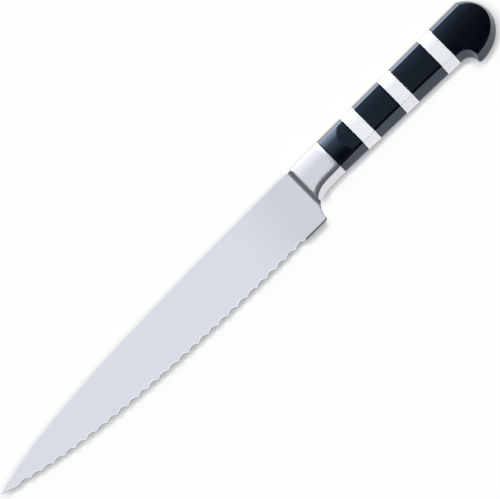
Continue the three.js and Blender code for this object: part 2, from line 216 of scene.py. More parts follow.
class HandleSizes(bpy.types.PropertyGroup):
    """Outline and section of the bolster and the stacked handle."""

    top_front: length("Top at front", "Handle's top above its axis, over the heel's back", 10.55)
    top_rear: length("Top at rear", "Handle's top above its axis, where the butt's round starts", 11.15)
    thickness: length("Thickness", "Distance between the flat sides", (RING_HIGH.z - RING_LOW.z) / MM)
    belly_front: length("Belly at front", "Belly below the axis, under the bolster", 9.6)
    belly_waist: length("Belly at waist", "Control depth of the belly's shallow curve", 10.45)
    belly_rear: length("Belly at rear", "Belly below the axis, where the finger notch starts", 11.6)
    choil_run: length("Choil run", "Run of the curve from the heel's back to the belly", 14)
    choil_sharpness: length("Choil sharpness", "How tightly that curve turns", 12)
    choil_lean: length("Choil lean", "Lean of that curve at the heel's back", 0.8)
    choil_drop: length("Choil drop", "Drop of that curve's first control", 2.4)
    notch_setback: length("Notch setback", "Finger notch's centre, behind the butt block's front", 1.2)
    notch_radius: length("Notch radius", "Radius of the finger notch", 5.3)
    hook_nose: length("Hook nose", "Round of the hook's corner", 1.7)
    hook_drop: length("Hook drop", "Hook's reach below the notch's centre", 1.5)
    butt_rise: length("Butt rise", "Height that the butt's ellipse would reach above the top", 2.5)
    edge_band: length("Edge band", "Height of the straight band between the bevels", 2.4)
    top_bevel: length("Top bevel", "Width of the bevel along the top", 1.9)
    lip_share: share("Lip share", "Share of the top's bevel that is a gentle lip beside the side", 0.47)
    lip_tilt: angle("Lip tilt", "Tilt of that lip", 17)
    belly_lip_share: share("Belly lip share", "Share of the butt's belly bevel that is such a lip", 0.16)
    belly_lip_tilt: angle("Belly lip tilt", "Tilt of the lip along the butt's belly", 8)
    belly_bevel_front: length("Belly bevel at front", "Width of the belly's bevel at the bolster", 3.5)
    belly_bevel_waist: length("Belly bevel at waist", "Width of the belly's bevel at mid handle", 5.5)
    belly_bevel_rear: length("Belly bevel at rear", "Width of the belly's bevel at the notch", 4.9)
    butt_bevel: length("Butt bevel", "Width of the bevel round the butt", 1.8)
    notch_bevel: length("Notch bevel", "Width of the bevel in the finger notch", 1.6)
    crease_foot: length("Crease foot", "Foot of the belly's crease, in front of the bolster's face", 0.95)
    crease_turn: length("Crease turn", "How tightly that crease turns down to the heel's back", 6.3)
    crease_round: length("Crease round", "Round where the belly's bevel meets the side", 0.3)
    top_round: length("Top round", "Round where the top's bevel meets the side", 0.1)
    ridge_round: length("Ridge round", "Round where a bevel meets the edge band", 1.5)
    rim_round: length("Rim round", "Round on the rims of the stacked pieces", 0.25)
    flat_start: length("Flat start", "Where the flat sides start, behind the bolster's front", 28.2)
    crown_height: length("Crown height", "Line along which the crowned front stands highest", 3.0)
    crown_radius: length("Crown radius", "Radius of the front block's crown above that line", 48)
    crown_low_radius: length("Lower crown radius", "Radius of the front block's crown below it", 95)
    crown_low_end: length("Lower crown end", "Where the lower crown has faded out", 35.5)
    crown_slope: share("Crown slope", "Slope of the front block's crown down to the bolster", 0.08)
    crown_start: length("Crown start", "Where the crown across the front block starts to grow", 17.5)
    crown_end: length("Crown end", "Where the crown across the front block is full", 21.5)
    bolster_slope: share("Bolster slope", "Slope of the bolster's sides down to the blade", 0.03)
    bolster_radius: length("Bolster radius", "Radius of the crown across the bolster's upper half", 200)
    roll_width: length("Roll width", "Width of the bolster's side that rolls over to the crease", 2.75)
    roll_spread: length("Roll spread", "Extra width of that roll at the bolster's front", 0.6)
    block_roll: length("Block roll", "Width of that roll on the blocks", 1.3)
    ring_roll: length("Ring roll", "Width of that roll on the rings", 0.1)
    roll_radius: length("Roll radius", "Radius of that roll", 9)
    roll_full: length("Roll full", "Where the wide roll starts to fade, behind the bolster's front", 20.4)
    roll_end: length("Roll end", "Where only the rear roll is left", 25)
    fillet_foot: length("Fillet foot", "Where the bolster's fillet starts, in front of its face", 1.15)
    fillet_radius: length("Fillet radius", "Radius of the hollow from the blade up to the bolster", 3.6)
    bolster_edge: length("Bolster edge", "Round at the top of the bolster's front", 0.5)
    upper_start: length("Upper crown start", "Height at which the sides start to fall to the top", 4)
    upper_radius: length("Upper crown radius", "Radius of the sides' slight fall to the top", 175)
    butt_radius: length("Butt radius", "Radius of the slight fall of the butt's sides to the rear", 2000)
    butt_crown: length("Butt crown", "Radius of the slight crown across the butt's sides", 330)
    tang_width: length("Tang width", "Width of the tang", 9)
    tang_thickness: length("Tang thickness", "Thickness of the tang", 5)
    tang_clearance: length("Tang clearance", "Gap round the tang in blocks and rings", 0.3)
    tang_shortfall: length("Tang shortfall", "Tang's shoulder, in front of the last ring's rear face", 1.5)
    thread_diameter: length("Thread diameter", "Diameter of the tang's threaded end", 5)


class KnifeFinishes(bpy.types.PropertyGroup):
    """Colours and gloss of the knife's materials."""

    blade_colour: colour("Blade", "Satin blade steel", (0.647, 0.664, 0.727))
    blade_roughness: share("Blade roughness", "Roughness of the blade's satin grind", 0.7)
    blade_mirror: share("Blade mirror", "Share of the light that the satin mirrors, not scatters", 0.35)
    # Painted shade: the blade's colour is made deeper beside the bolster, fading in between these two places
    # along X.
    painted_heel_shade: share("Heel shade", "How much deeper the blade's tone is beside the bolster", 0.12)
    painted_heel_shade_start: length("Heel shade start", "Where that tone starts along the frame's X", -3)
    painted_heel_shade_end: length("Heel shade end", "Where that tone is full along the frame's X", 35)
    # Painted highlight: the ground strips along the edge and on the hidden grind get a brighter colour.
    painted_edge_highlight: number("Keen edge", "How much brighter the freshly ground strips are than the satin", 1.45)
    # Painted shade: the honed edge's own line gets this near-black share of the blade's colour.
    painted_edge_shade: share("Honed edge", "How bright the honed edge itself is beside the satin", 0.06)
    bolster_colour: colour("Bolster", "Polished bolster steel", (0.768, 0.768, 0.815))
    bolster_roughness: share("Bolster roughness", "Roughness of the bolster's polish", 0.288)
    ring_colour: colour("Rings", "Satin ring steel", (0.912, 0.92, 0.945))
    ring_roughness: share("Ring roughness", "Roughness of the rings", 0.327)
    grip_colour: colour("Grip", "Black of the grip blocks", (0.0002, 0.0006, 0.0018))
    grip_roughness: share("Grip roughness", "Roughness of the polished black", 0.132)
    grip_specular: share("Grip specular", "Strength of the black's surface reflection", 0.92)
    grip_tint: colour("Grip tint", "Tint of the black's surface reflection", (0.58, 0.75, 1.0))
    fastener_colour: colour("Fasteners", "Turned steel of the nut, washer and dowels", (0.5, 0.51, 0.53))
    fastener_roughness: share("Fastener roughness", "Roughness of the fasteners", 0.4)
    tang_tone: share("Tang tone", "How bright the tang is beside the fasteners", 0.9)


class StageSettings(bpy.types.PropertyGroup):
    """Floor, light and camera."""

    floor_colour: colour("Floor", "Pale floor", (0.864, 0.864, 0.864))
    floor_size: length("Floor size", "Half the floor's width", 8000)
    backdrop_colour: colour("Backdrop", "Pale tone that the floor has of itself", (0.994, 0.994, 0.994))
    backdrop_share: share("Backdrop share", "How far that tone takes the place of light and shadow", 0.96)
    # Painted shadow on the floor: its colour, the lean of its sky, and the blade's and handle's reaches and
    # gains.
    shade_colour: colour("Shade", "Tone of the floor close beside the knife", (0.385, 0.39, 0.402))
    shade_tilt: angle("Shade tilt", "Lean of the shading's sky from overhead, towards the spine", 65)
    blade_reach: length("Blade's shade reach", "How near the blade must be to shade the floor", 8.3)
    blade_gain: number("Blade's shade gain", "How quickly the blade's shade deepens", 12.5)
    handle_reach: length("Handle's shade reach", "How near the handle must be to shade the floor", 6.3)
    handle_gain: number("Handle's shade gain", "How quickly the handle's shade deepens", 1.75)
    shade_change: length("Shade change", "Where the blade's shade starts to become the handle's", -5)
    shade_changed: length("Shade changed", "Where it has become the handle's", 1)
    key_tilt: angle("Key tilt", "Angle of the soft key light from overhead, towards the spine", 38.2)
    key_turn: angle("Key turn", "Turn of the key light towards the tip", -2.9)
    key_core: angle("Key core", "Half angle of the key's even middle", 11)
    key_edge: angle("Key edge", "Half angle at which the key has faded out", 34)
    key_light: number("Key light", "Brightness of the key light", 7.31)
    fill_tilt: angle("Fill tilt", "Angle of the dim fill light from overhead", 9)
    fill_turn: angle("Fill turn", "Turn of the fill light from the spine's side towards the tip", 35.7)
    fill_core: angle("Fill core", "Half angle of the fill's even middle", 2.6)
    fill_edge: angle("Fill edge", "Half angle at which the fill has faded out", 13.1)
    fill_colour: colour("Fill colour", "Cool tint of the fill light", (0.77, 0.87, 1.0))
    fill_light: number("Fill light", "Brightness of the fill light", 0.88)
    room_light: number("Room light", "Brightness of the room", 0.104)
    ceiling_core: angle("Ceiling core", "Half angle of the dark ceiling's middle", 9.9)
    ceiling_edge: angle("Ceiling edge", "Half angle at which the ceiling has become the room", 14.9)
    camera_distance: length("Camera distance", "Camera from the knife", 2500)
    camera_turn: angle("Camera turn", "Turn of the knife in the picture", 44.8)
    picture_width: length("Picture width", "Width of the picture at the knife", 244.0)
    aim_x: length("Aim X", "Middle of the picture along the knife", 2.757)
    aim_y: length("Aim Y", "Middle of the picture across the knife", 0.66)


# Curves and surfaces


def smooth(value, start, end):
    """Nought before start, one after end, and an S-shaped cubic between them."""
    t = np.clip((value - start) / (end - start), 0, 1)
    return t * t * (3 - 2 * t)


def bezier(controls, t):
    """A Bezier curve: each control point weighted by its Bernstein polynomial in t."""
    controls = np.asarray(controls, float)
    degree = len(controls) - 1
    powers = np.arange(degree + 1)
    counts = np.array([math.comb(degree, k) for k in powers])
    t = np.asarray(t, float)[:, None]
    return (counts * t**powers * (1 - t) ** (degree - powers)) @ controls


def along_curve(controls, distances):
    """Points and unit tangents of a Bezier curve at distances that are looked up in its running length."""
    t = np.linspace(0, 1, CURVE_SAMPLES)
    run = run_of(bezier(controls, t))
    at = np.interp(distances, run, t)
    tangents = bezier(np.diff(np.asarray(controls, float), axis=0), at)
    tangents /= np.linalg.norm(tangents, axis=1, keepdims=True)
    return bezier(controls, at), tangents


def run_of(points):
    """Running length along a line of points."""
    return np.concatenate([[0], np.cumsum(np.linalg.norm(np.diff(points, axis=0), axis=1))])


def supported(count):
    """Shares from nought to one: both ends, a supporting line close to each, and even steps between."""
    return np.concatenate([[0], np.linspace(NEAR_END, 1 - NEAR_END, count), [1]])


def spot(first, second):
    """Points with the two coordinates, which are spread to one shape."""
    return np.stack(np.broadcast_arrays(first, second), axis=-1)


def carried(x, sections):
    """Sections in Y and Z, each set at its own station along X."""
    stations = np.broadcast_to(np.reshape(x, (-1, 1, 1)), sections.shape[:2] + (1,))
    return np.concatenate([stations, sections], axis=2)


def skin(rows, columns, wrap_rows=False):
    """Faces of a grid whose columns close round: a quad for each cell.

    Each end gets a cap, unless the rows close as well.
    """
    first = np.arange(rows if wrap_rows else rows - 1)
    i, j = np.meshgrid(first, np.arange(columns), indexing="ij")
    i2 = (i + 1) % rows
    j2 = (j + 1) % columns
    quads = np.stack([i * columns + j, i2 * columns + j, i2 * columns + j2, i * columns + j2], axis=-1)
    faces = quads.reshape(-1, 4).tolist()
    if not wrap_rows:
        last = (rows - 1) * columns
        faces.append(list(range(columns)))
        faces.append(list(range(last + columns - 1, last - 1, -1)))
    return faces


def encloses(points, quads):
    """Signed volume inside a closed skin: the sum over triangles of the triple product of their corners."""
    a, b, c, d = (points[quads[:, k]] for k in range(4))
    triple = np.einsum("ij,ij->i", a, np.cross(b, c)) + np.einsum("ij,ij->i", a, np.cross(c, d))
    return triple.sum() / 6


def hook_depth(handle):
    """Depth of the hook's lowest point below the handle's axis."""
    return handle.belly_rear + handle.notch_radius + handle.hook_drop


def knife_origin(blade, handle):
    """The bolster's front, on the handle's axis and the blade's middle plane, in the packed frame."""
    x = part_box("forged_blade")[0].x + blade.length
    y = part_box("butt_block")[0].y + hook_depth(handle)
    return np.array([x, y, (RING_LOW.z + RING_HIGH.z) / 2])


def node_ends(blade, handle, node):
    """Where a node of the frame starts and ends along X, measured from the bolster's front."""
    low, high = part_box(node)
    origin_x = knife_origin(blade, handle)[0]
    return low.x - origin_x, high.x - origin_x


def make_piece(name, grid, wrap_rows, crease_angle, material, replaced, attributes=()):
    """Puts a grid of points, rows by columns by three, into a mesh object that stands for a node."""
    scene = bpy.context.scene
    points = grid.reshape(-1, 3) + knife_origin(scene.knife_blade, scene.knife_handle)
    faces = skin(grid.shape[0], grid.shape[1], wrap_rows)
    quads = np.array([face for face in faces if len(face) == 4])
    if encloses(points - points.mean(axis=0), quads) < 0:
        faces = [face[::-1] for face in faces]
    mesh = bpy.data.meshes.new(name)
    mesh.from_pydata(points.tolist(), [], faces)
    mesh.shade_smooth()
    mesh.set_sharp_from_angle(angle=crease_angle)
    for label, values in attributes:
        layer = mesh.attributes.new(label, "FLOAT", "POINT")
        layer.data.foreach_set("value", values.astype(np.float32).ravel())
    mesh.materials.append(material)
    if mesh.validate():
        raise RuntimeError(f"{name} has faces that can't be used")
    piece = bpy.data.objects.new(name, mesh)
    scene.collection.objects.link(piece)
    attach(piece, BODY)
    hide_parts(replaced)


# Blade


def flank_height(blade, x, y):
    """Half the blade's thickness: a plane through the spine and the edge at the bolster, and the tip."""
    spine = blade.spine_thickness / 2
    across = (spine - blade.heel_thickness / 2) / (blade.spine_height + blade.edge_depth)
    above_tip = spine - across * (blade.spine_height + blade.tip_depth)
    along = (above_tip - blade.tip_thickness / 2) / blade.length
    return spine - across * (blade.spine_height - y) + along * x


def spine_line(blade):
    """Points along the spine, from the root inside the bolster to the tip."""
    tip = np.array([-blade.length, -blade.tip_depth])
    controls = [
        (0, blade.spine_height),
        (-blade.spine_straight, blade.spine_height),
        tip + (blade.spine_tip_run, blade.spine_tip_rise),
        tip,
    ]
    root = np.array([[2 * blade.root, blade.spine_height]])
    return np.concatenate([root, bezier(controls, np.linspace(0, 1, CURVE_SAMPLES))])


def edge_controls(blade):
    """Controls of the line through the scallops' cusps, from the plain heel to the tip."""
    tip = np.array([-blade.length, -blade.tip_depth])
    return [
        (-blade.plain_heel, -blade.edge_depth),
        (-blade.plain_heel - blade.edge_straight, -blade.edge_depth),
        tip + (blade.edge_tip_run, -blade.edge_tip_drop),
        tip,
    ]


def choil_controls(blade, handle):
    """Controls of the curve from the heel's back up to the belly."""
    back = -blade.heel_setback
    return [
        (back, blade.heel_corner - blade.edge_depth),
        (back + handle.choil_lean, -handle.belly_front - handle.choil_drop),
        (handle.choil_run - handle.choil_sharpness, -handle.belly_front),
        (handle.choil_run, -handle.belly_front),
    ]


def choil_crease_controls(blade, handle):
    """Controls of the crease inside that curve, which runs out on the heel's back."""
    level = handle.belly_bevel_front - handle.belly_front
    return [
        (-handle.crease_foot, blade.heel_corner - blade.edge_depth),
        (-handle.crease_foot, level),
        (handle.choil_run - handle.crease_turn, level),
        (handle.choil_run, level),
    ]


def corner_controls(blade):
    """Controls of the round at the heel's lower corner, from the heel's back to the plain edge."""
    back = -blade.heel_setback
    return [
        (back, blade.heel_corner - blade.edge_depth),
        (back, -blade.edge_depth),
        (back - blade.heel_corner, -blade.edge_depth),
    ]


def back_bevel(blade, handle, x, y):
    """Depth of the bevel up the heel's back: it grows evenly over the bevel's width to the back's line."""
    t = np.linspace(0, 1, CURVE_SAMPLES)
    corner = bezier(corner_controls(blade), t[::-1])
    line = np.concatenate([corner, bezier(choil_controls(blade, handle), t)[1:]])
    gap = np.interp(y, line[:, 1], line[:, 0]) - x
    return blade.back_bevel_depth * np.clip(1 - gap / blade.back_bevel_width, 0, 1)


def heel_feet(blade, handle):
    """Feet of the upright ribs over the root and the heel: down the choil, round the corner, along the edge.

    Behind the tuck's start they rise off the choil's line at a slope, so that the bolster covers them.
    """
    tuck_start = -0.9 * MM
    tuck_slope = 0.4
    choil = choil_controls(blade, handle)
    t = np.linspace(0, 1, CURVE_SAMPLES)
    root_t = np.interp(blade.root, bezier(choil, t)[:, 0], t)
    back = bezier(choil, np.linspace(root_t, 0, CHOIL_RIBS))
    back[:, 1] += tuck_slope * np.clip(back[:, 0] - tuck_start, 0, None)
    round_corner = bezier(corner_controls(blade), np.linspace(0, 1, CORNER_RIBS)[1:])
    fade_start = -blade.plain_heel + blade.scallop_pitch / 2
    plain_x = np.concatenate([
        np.linspace(-blade.heel_setback - blade.heel_corner, fade_start, HEEL_RIBS)[1:],
        np.linspace(fade_start, -blade.plain_heel, FADE_RIBS)[1:-1],
    ])
    plain = np.stack([plain_x, np.full_like(plain_x, -blade.edge_depth)], axis=1)
    return np.concatenate([back, round_corner, plain])


def blade_ribs(blade, handle):
    """Feet, directions and grind depths of the blade's ribs, from the root to the tip.

    Ribs stand upright over the heel and square to the edge elsewhere. A scallop is a cylinder of radius R
    held at the grind's angle, so at a distance t from its middle the edge lies
    depth - (R - sqrt(R^2 - t^2)) / sin(angle) behind the cusps. Past the cusp, over the heel, the same
    formula goes negative and the grind fades out by itself.
    """
    last_gap = 0.12 * MM
    tip_crowding = 1.6
    controls = edge_controls(blade)
    edge_length = run_of(bezier(controls, np.linspace(0, 1, CURVE_SAMPLES)))[-1]
    scallops = math.floor((edge_length - blade.plain_tip) / blade.scallop_pitch)
    scalloped = scallops * blade.scallop_pitch
    cut = np.linspace(0, scalloped, scallops * RIBS_PER_SCALLOP + 1)
    to_tip = 1 - (1 - np.linspace(0, 1, TIP_RIBS)[1:]) ** tip_crowding
    point_run = scalloped + (edge_length - last_gap - scalloped) * to_tip
    edge_feet, tangents = along_curve(controls, np.concatenate([cut, point_run]))
    heel = heel_feet(blade, handle)
    feet = np.concatenate([heel, edge_feet])
    tangents = np.concatenate([np.tile((-1.0, 0.0), (len(heel), 1)), tangents])

    sagitta = blade.scallop_depth * math.sin(blade.grind_angle)
    radius = ((blade.scallop_pitch / 2) ** 2 + sagitta**2) / (2 * sagitta)
    from_middle = np.concatenate([
        heel[:, 0] + blade.plain_heel + blade.scallop_pitch / 2,
        np.mod(cut, blade.scallop_pitch) - blade.scallop_pitch / 2,
    ])
    from_middle = np.clip(np.abs(from_middle), 0, radius)
    rise = (radius - np.sqrt(radius**2 - from_middle**2)) / math.sin(blade.grind_angle)
    grind = np.concatenate([blade.scallop_depth - rise, np.zeros(len(point_run))])
    return feet, tangents, grind


def rib_widths(feet, tangents, inward, spine):
    """Distance along each rib from its foot to the spine, where the spine's line crosses it."""
    offset = spine[None] - feet[:, None]
    along = np.einsum("ijk,ik->ij", offset, tangents)
    across = np.einsum("ijk,ik->ij", offset, inward)
    after = np.clip(np.argmax(along > 0, axis=1), 1, None)
    rows = np.arange(len(feet))
    a0, a1 = along[rows, after - 1], along[rows, after]
    weight = np.clip(a0 / (a0 - a1), 0, 1)
    return across[rows, after - 1] * (1 - weight) + across[rows, after] * weight


def blade_surface(blade, handle):
    """The blade as ribs carried from the root to the tip, and its marks for the ground strips and the edge.

    Across a rib the section goes up the shown flank from the hone, over the rounded spine, down the hidden
    flank and back to the edge along the grind, a straight line that starts on the shown flank at the grind's
    angle. A mark is one on its own lines and nought elsewhere.
    """
    least = 0.03 * MM
    narrowest = 4 * least
    hone_fade = 1.2 * MM
    back_fade = hone_fade / 4
    feet, tangents, grind = blade_ribs(blade, handle)
    inward = np.stack([tangents[:, 1], -tangents[:, 0]], axis=1)
    width = rib_widths(feet, tangents, inward, spine_line(blade))[:, None]
    width = np.maximum(width, narrowest)
    grind = grind[:, None]

    def placed(mu):
        return feet[:, None] + inward[:, None] * mu[..., None]

    def half(mu):
        place = placed(mu)
        x, y = place[..., 0], place[..., 1]
        flank = flank_height(blade, x, y)
        return flank - np.minimum(back_bevel(blade, handle, x, y), BEVEL_SHARE * flank)

    edge = np.minimum(np.clip(grind, blade.edge_land, None), EDGE_SHARE * width)
    edge_half = half(edge)
    on_heel = smooth(feet[:, :1], -blade.plain_heel, -blade.plain_heel + hone_fade)
    on_heel = on_heel * (1 - smooth(feet[:, :1], -blade.heel_setback - back_fade, -blade.heel_setback))
    hone = blade.hone_width + on_heel * (blade.heel_hone_width - blade.hone_width)
    hone = np.minimum(hone, HONE_SHARE * (width - edge))
    hone_depth = blade.hone_depth + on_heel * (blade.heel_hone_depth - blade.hone_depth)
    deepest = HONE_DEPTH_SHARE + on_heel * (HEEL_DEPTH_SHARE - HONE_DEPTH_SHARE)
    hone_depth = np.minimum(hone_depth, deepest * edge_half)
    corner = np.minimum(np.minimum(blade.spine_round, SPINE_SHARE * (width - edge)), BEVEL_SHARE * edge_half)
    top = width - corner
    slope = math.tan(blade.grind_angle)
    grind_end = np.clip(grind + 2 * edge_half / slope, edge + least, edge + GRIND_SHARE * (top - edge))
    wall = edge_half - np.clip(-grind, 0, None) * slope
    wall = np.clip(wall, least - edge_half, edge_half - hone_depth - least)

    shares = supported(HIDDEN_FLANK_LINES)[None]
    turn = np.linspace(0, math.pi / 2, SPINE_STEPS)[None]
    up = edge + hone + supported(SHOWN_FLANK_LINES)[None] * (top - edge - hone)
    over = top + corner * np.sin(turn[:, 1:])
    over_height = half(top) - corner + corner * np.cos(turn[:, 1:])
    down = top + shares * (grind_end - top)
    back = grind_end + shares[:, 1:] * (edge - grind_end)
    back_height = -half(grind_end) + shares[:, 1:] * (wall + half(grind_end))
    mu = np.concatenate([edge, up, over, over[:, ::-1], down, back], axis=1)
    z = np.concatenate([
        edge_half - hone_depth,
        half(up),
        over_height,
        -over_height[:, ::-1],
        -half(down),
        back_height,
    ], axis=1)
    # The ground mark also carries the material's painted highlight.
    ground = np.zeros_like(mu)
    ground[:, :2] = 1
    ground[:, -back.shape[1]:] = 1
    # The honed mark carries a painted shade: the edge's own line, and in part the top of the heel's bevel.
    honed = np.zeros_like(mu)
    honed[:, 0] = 1
    honed[:, 1] = HEEL_PAINTED_SHADE_SHARE * on_heel[:, 0]
    return np.concatenate([placed(mu), z[..., None]], axis=2), ground, honed


# Bolster, blocks and rings


class HandleLines:
    """The handle's lines as functions of X: the top, the belly, and the crease where its bevel starts."""

    def __init__(self, blade, handle):
        butt_front, butt_rear = node_ends(blade, handle, "butt_block")
        self.notch_x = butt_front + handle.notch_setback
        self.belly_controls = self.belly(handle, 0, 0, 0)
        self.crease_controls = self.belly(
            handle, handle.belly_bevel_front, handle.belly_bevel_waist, handle.belly_bevel_rear
        )
        top_end = butt_ellipse(handle, self, butt_rear, (0, 0, 0), np.array([1.0]))[0]
        self.top_line = np.array([(-blade.heel_setback, handle.top_front), top_end])
        self.low_line = self.join(choil_controls(blade, handle), self.belly_controls)
        self.crease_line = self.join(choil_crease_controls(blade, handle), self.crease_controls)

    def belly(self, handle, front, waist, rear):
        """Controls of the belly's shallow curve, raised by a bevel's width at its front, waist and rear."""
        middle = (handle.choil_run + self.notch_x) / 2
        return [
            (handle.choil_run, front - handle.belly_front),
            (middle, waist - handle.belly_waist),
            (self.notch_x, rear - handle.belly_rear),
        ]

    def join(self, first, second):
        """Two Bezier curves, end to end, as one line of points."""
        t = np.linspace(0, 1, CURVE_SAMPLES)
        return np.concatenate([bezier(first, t), bezier(second, t)[1:]])

    def top(self, x):
        """Height of the handle's top, a straight line from over the heel's back to the butt's round."""
        return np.interp(x, self.top_line[:, 0], self.top_line[:, 1])

    def low(self, x):
        """Height of the belly, or of the choil in front of it."""
        return np.interp(x, self.low_line[:, 0], self.low_line[:, 1])

    def crease(self, x):
        """Height at which the belly's bevel meets the side."""
        return np.interp(x, self.crease_line[:, 0], self.crease_line[:, 1])


def upper_fall(handle, y):
    """How far the handle's sides fall to the top: (y - start)^2 / (2 * radius) above the start."""
    return np.clip(y - handle.upper_start, 0, None) ** 2 / (2 * handle.upper_radius)


def side_height(handle, lines, x, y, rear_roll):
    """Half thickness at the handle's sides: flat, but crowned in front and rolled over to the crease.

    The front block falls by slope * (start - x) + (y - crown)^2 * bend / 2, with one bend above the crown's
    line and one below it, so it meets the flat in a parabola. The bolster goes on from there at its own
    slope and bend. Below a line beside the belly's crease the side falls by (line - y)^2 / (2 * radius) as
    well, and behind the bolster it falls a little to the top.
    """
    above = np.clip(y - handle.crown_height, 0, None)
    below = np.clip(handle.crown_height - y, 0, None)
    grown = smooth(x, handle.crown_start, handle.crown_end)
    bend = grown / handle.crown_radius + (1 - grown) / handle.bolster_radius
    low_bend = grown * (1 - smooth(x, handle.flat_start, handle.crown_low_end)) / handle.crown_low_radius
    ramp = handle.crown_slope * (handle.flat_start - np.maximum(x, handle.roll_full))
    ramp = ramp + handle.bolster_slope * np.clip(handle.roll_full - x, 0, None)
    fall = ramp + (above**2 * bend + below**2 * low_bend) / 2
    ahead = np.clip(1 - x / handle.roll_full, 0, 1)
    extra = handle.roll_width - rear_roll + handle.roll_spread * ahead**3
    width = rear_roll + extra * (1 - smooth(x, handle.roll_full, handle.roll_end))
    roll = np.clip(lines.crease(x) + width - y, 0, None) ** 2 / (2 * handle.roll_radius)
    return handle.thickness / 2 - np.clip(fall, 0, None) - roll - grown * upper_fall(handle, y)


def turned_corner(before, corner, after):
    """A quadratic Bezier curve round a corner, for each row of points."""
    t = np.linspace(0, 1, CREASE_STEPS)[None, :, None]
    return (1 - t) ** 2 * before + 2 * t * (1 - t) * corner + t**2 * after


def straight_run(start, end):
    """Points between two rows of points, without the ends, with supporting lines close to the ends."""
    t = supported(BEVEL_LINES)[None, 1:-1, None]
    return start + t * (end - start)


def pulled(corner, towards, distance):
    """A point a given distance from a corner towards another point, but not as far as the middle."""
    gap = towards - corner
    reach = np.linalg.norm(gap, axis=2, keepdims=True)
    return corner + gap * np.minimum(distance / np.maximum(reach, TINY), CORNER_SHARE)


def handle_section(handle, x, low, crease, shoulder, top, band, face, columns, crease_round):
    """A closed section in Y and Z at each station x: wall, bevel, side, lip, bevel and wall, and back below.

    Bevels are straight, the side follows the face's formula, the lip leaves it at a small tilt, and each
    corner is rounded by a quadratic Bezier curve.
    """
    nought = np.zeros_like(low)
    longest_round = SIDE_ROUND_SHARE * (shoulder - crease)
    ridge, belly_band = spot(low, nought), spot(low, band)
    belly_crease = spot(crease, face(x, crease))
    lip = handle.lip_share * (top - shoulder)
    top_crease = spot(shoulder, face(x, shoulder))
    lip_edge = spot(shoulder + lip, face(x, shoulder) - lip * math.tan(handle.lip_tilt))
    top_band, top_ridge = spot(top, band), spot(top, nought)

    band_start = pulled(belly_band, ridge, handle.ridge_round)
    band_end = pulled(belly_band, belly_crease, handle.ridge_round)
    crease_start = pulled(belly_crease, belly_band, crease_round)
    side_start = crease + np.minimum(crease_round, longest_round)
    side_end = shoulder - np.minimum(handle.top_round, longest_round)
    side = side_start + supported(columns)[None] * (side_end - side_start)
    side_line = spot(side, face(x, side))
    lip_start = pulled(top_crease, lip_edge, handle.top_round)
    lip_end = pulled(lip_edge, top_crease, handle.top_round)
    steep_start = pulled(lip_edge, top_band, handle.top_round)
    rim_start = pulled(top_band, lip_edge, handle.ridge_round)
    rim_end = pulled(top_band, top_ridge, handle.ridge_round)
    upper = np.concatenate([
        ridge,
        turned_corner(band_start, belly_band, band_end),
        straight_run(band_end, crease_start),
        turned_corner(crease_start, belly_crease, side_line[:, :1])[:, :-1],
        side_line,
        turned_corner(side_line[:, -1:], top_crease, lip_start)[:, 1:],
        turned_corner(lip_end, lip_edge, steep_start),
        straight_run(steep_start, rim_start),
        turned_corner(rim_start, top_band, rim_end),
        top_ridge,
    ], axis=1)
    lower = upper[:, -2:0:-1] * (1, -1)
    return np.concatenate([upper, lower], axis=1)


def drawn_in(loop, amount):
    """A closed section moved inwards, square to its own line, by an amount for each row."""
    ahead = np.roll(loop, -1, axis=1) - np.roll(loop, 1, axis=1)
    normal = np.stack([ahead[..., 1], -ahead[..., 0]], axis=-1)
    normal /= np.maximum(np.linalg.norm(normal, axis=-1, keepdims=True), TINY)
    inner = loop.mean(axis=1, keepdims=True) - loop
    turned = np.sign((normal * inner).sum(axis=(1, 2)))[:, None, None]
    return loop + turned * normal * amount[:, None, None]


def rounded_stations(start, end, rim, count):
    """Stations along X between two rims, and how far each is drawn in: a quarter circle at each rim."""
    turn = np.linspace(0, math.pi / 2, RIM_STEPS)
    rise = rim * (1 - np.cos(turn))
    draw = rim * (1 - np.sin(turn))
    middle = start + rim + supported(count)[1:-1] * (end - start - 2 * rim)
    x = np.concatenate([start + rise, middle, end - rise[::-1]])
    return x, np.concatenate([draw, np.zeros(count), draw[::-1]])


def bevelled_section(handle, lines, x, columns, rear_roll):
    """The handle's full section at each station, between the bolster's rear and the butt."""
    x = x[:, None]
    low, crease, top = lines.low(x), lines.crease(x), lines.top(x)
    band = np.full_like(x, handle.edge_band / 2)

    def face(at, y):
        return side_height(handle, lines, at, y, rear_roll)

    crease_round = min(handle.crease_round, rear_roll / 2)
    shoulder = top - handle.top_bevel
    return handle_section(handle, x, low, crease, shoulder, top, band, face, columns, crease_round)


def slot_round(handle, loop):
    """The tang's slot as a rectangle, with a point in the direction of each point of a section."""
    half_width = handle.tang_width / 2 + handle.tang_clearance
    half_height = handle.tang_thickness / 2 + handle.tang_clearance
    turn = np.arctan2(loop[:, 1], loop[:, 0])
    reach = 1 / np.maximum(np.abs(np.cos(turn)) / half_width, np.abs(np.sin(turn)) / half_height)
    return reach[:, None] * np.stack([np.cos(turn), np.sin(turn)], axis=1)


def stacked_surface(blade, handle, node, stations, columns, rear_roll):
    """A block or a ring: the handle's section carried between its ends, and back through the tang's slot."""
    start, end = node_ends(blade, handle, node)
    x, draw = rounded_stations(start, end, handle.rim_round, stations)
    lines = HandleLines(blade, handle)
    loop = drawn_in(bevelled_section(handle, lines, x, columns, rear_roll), draw)
    slot = slot_round(handle, loop[len(x) // 2])
    slot_ends = np.broadcast_to(slot, (2,) + slot.shape)
    return np.concatenate([carried(x, loop), carried((x[-1], x[0]), slot_ends)])


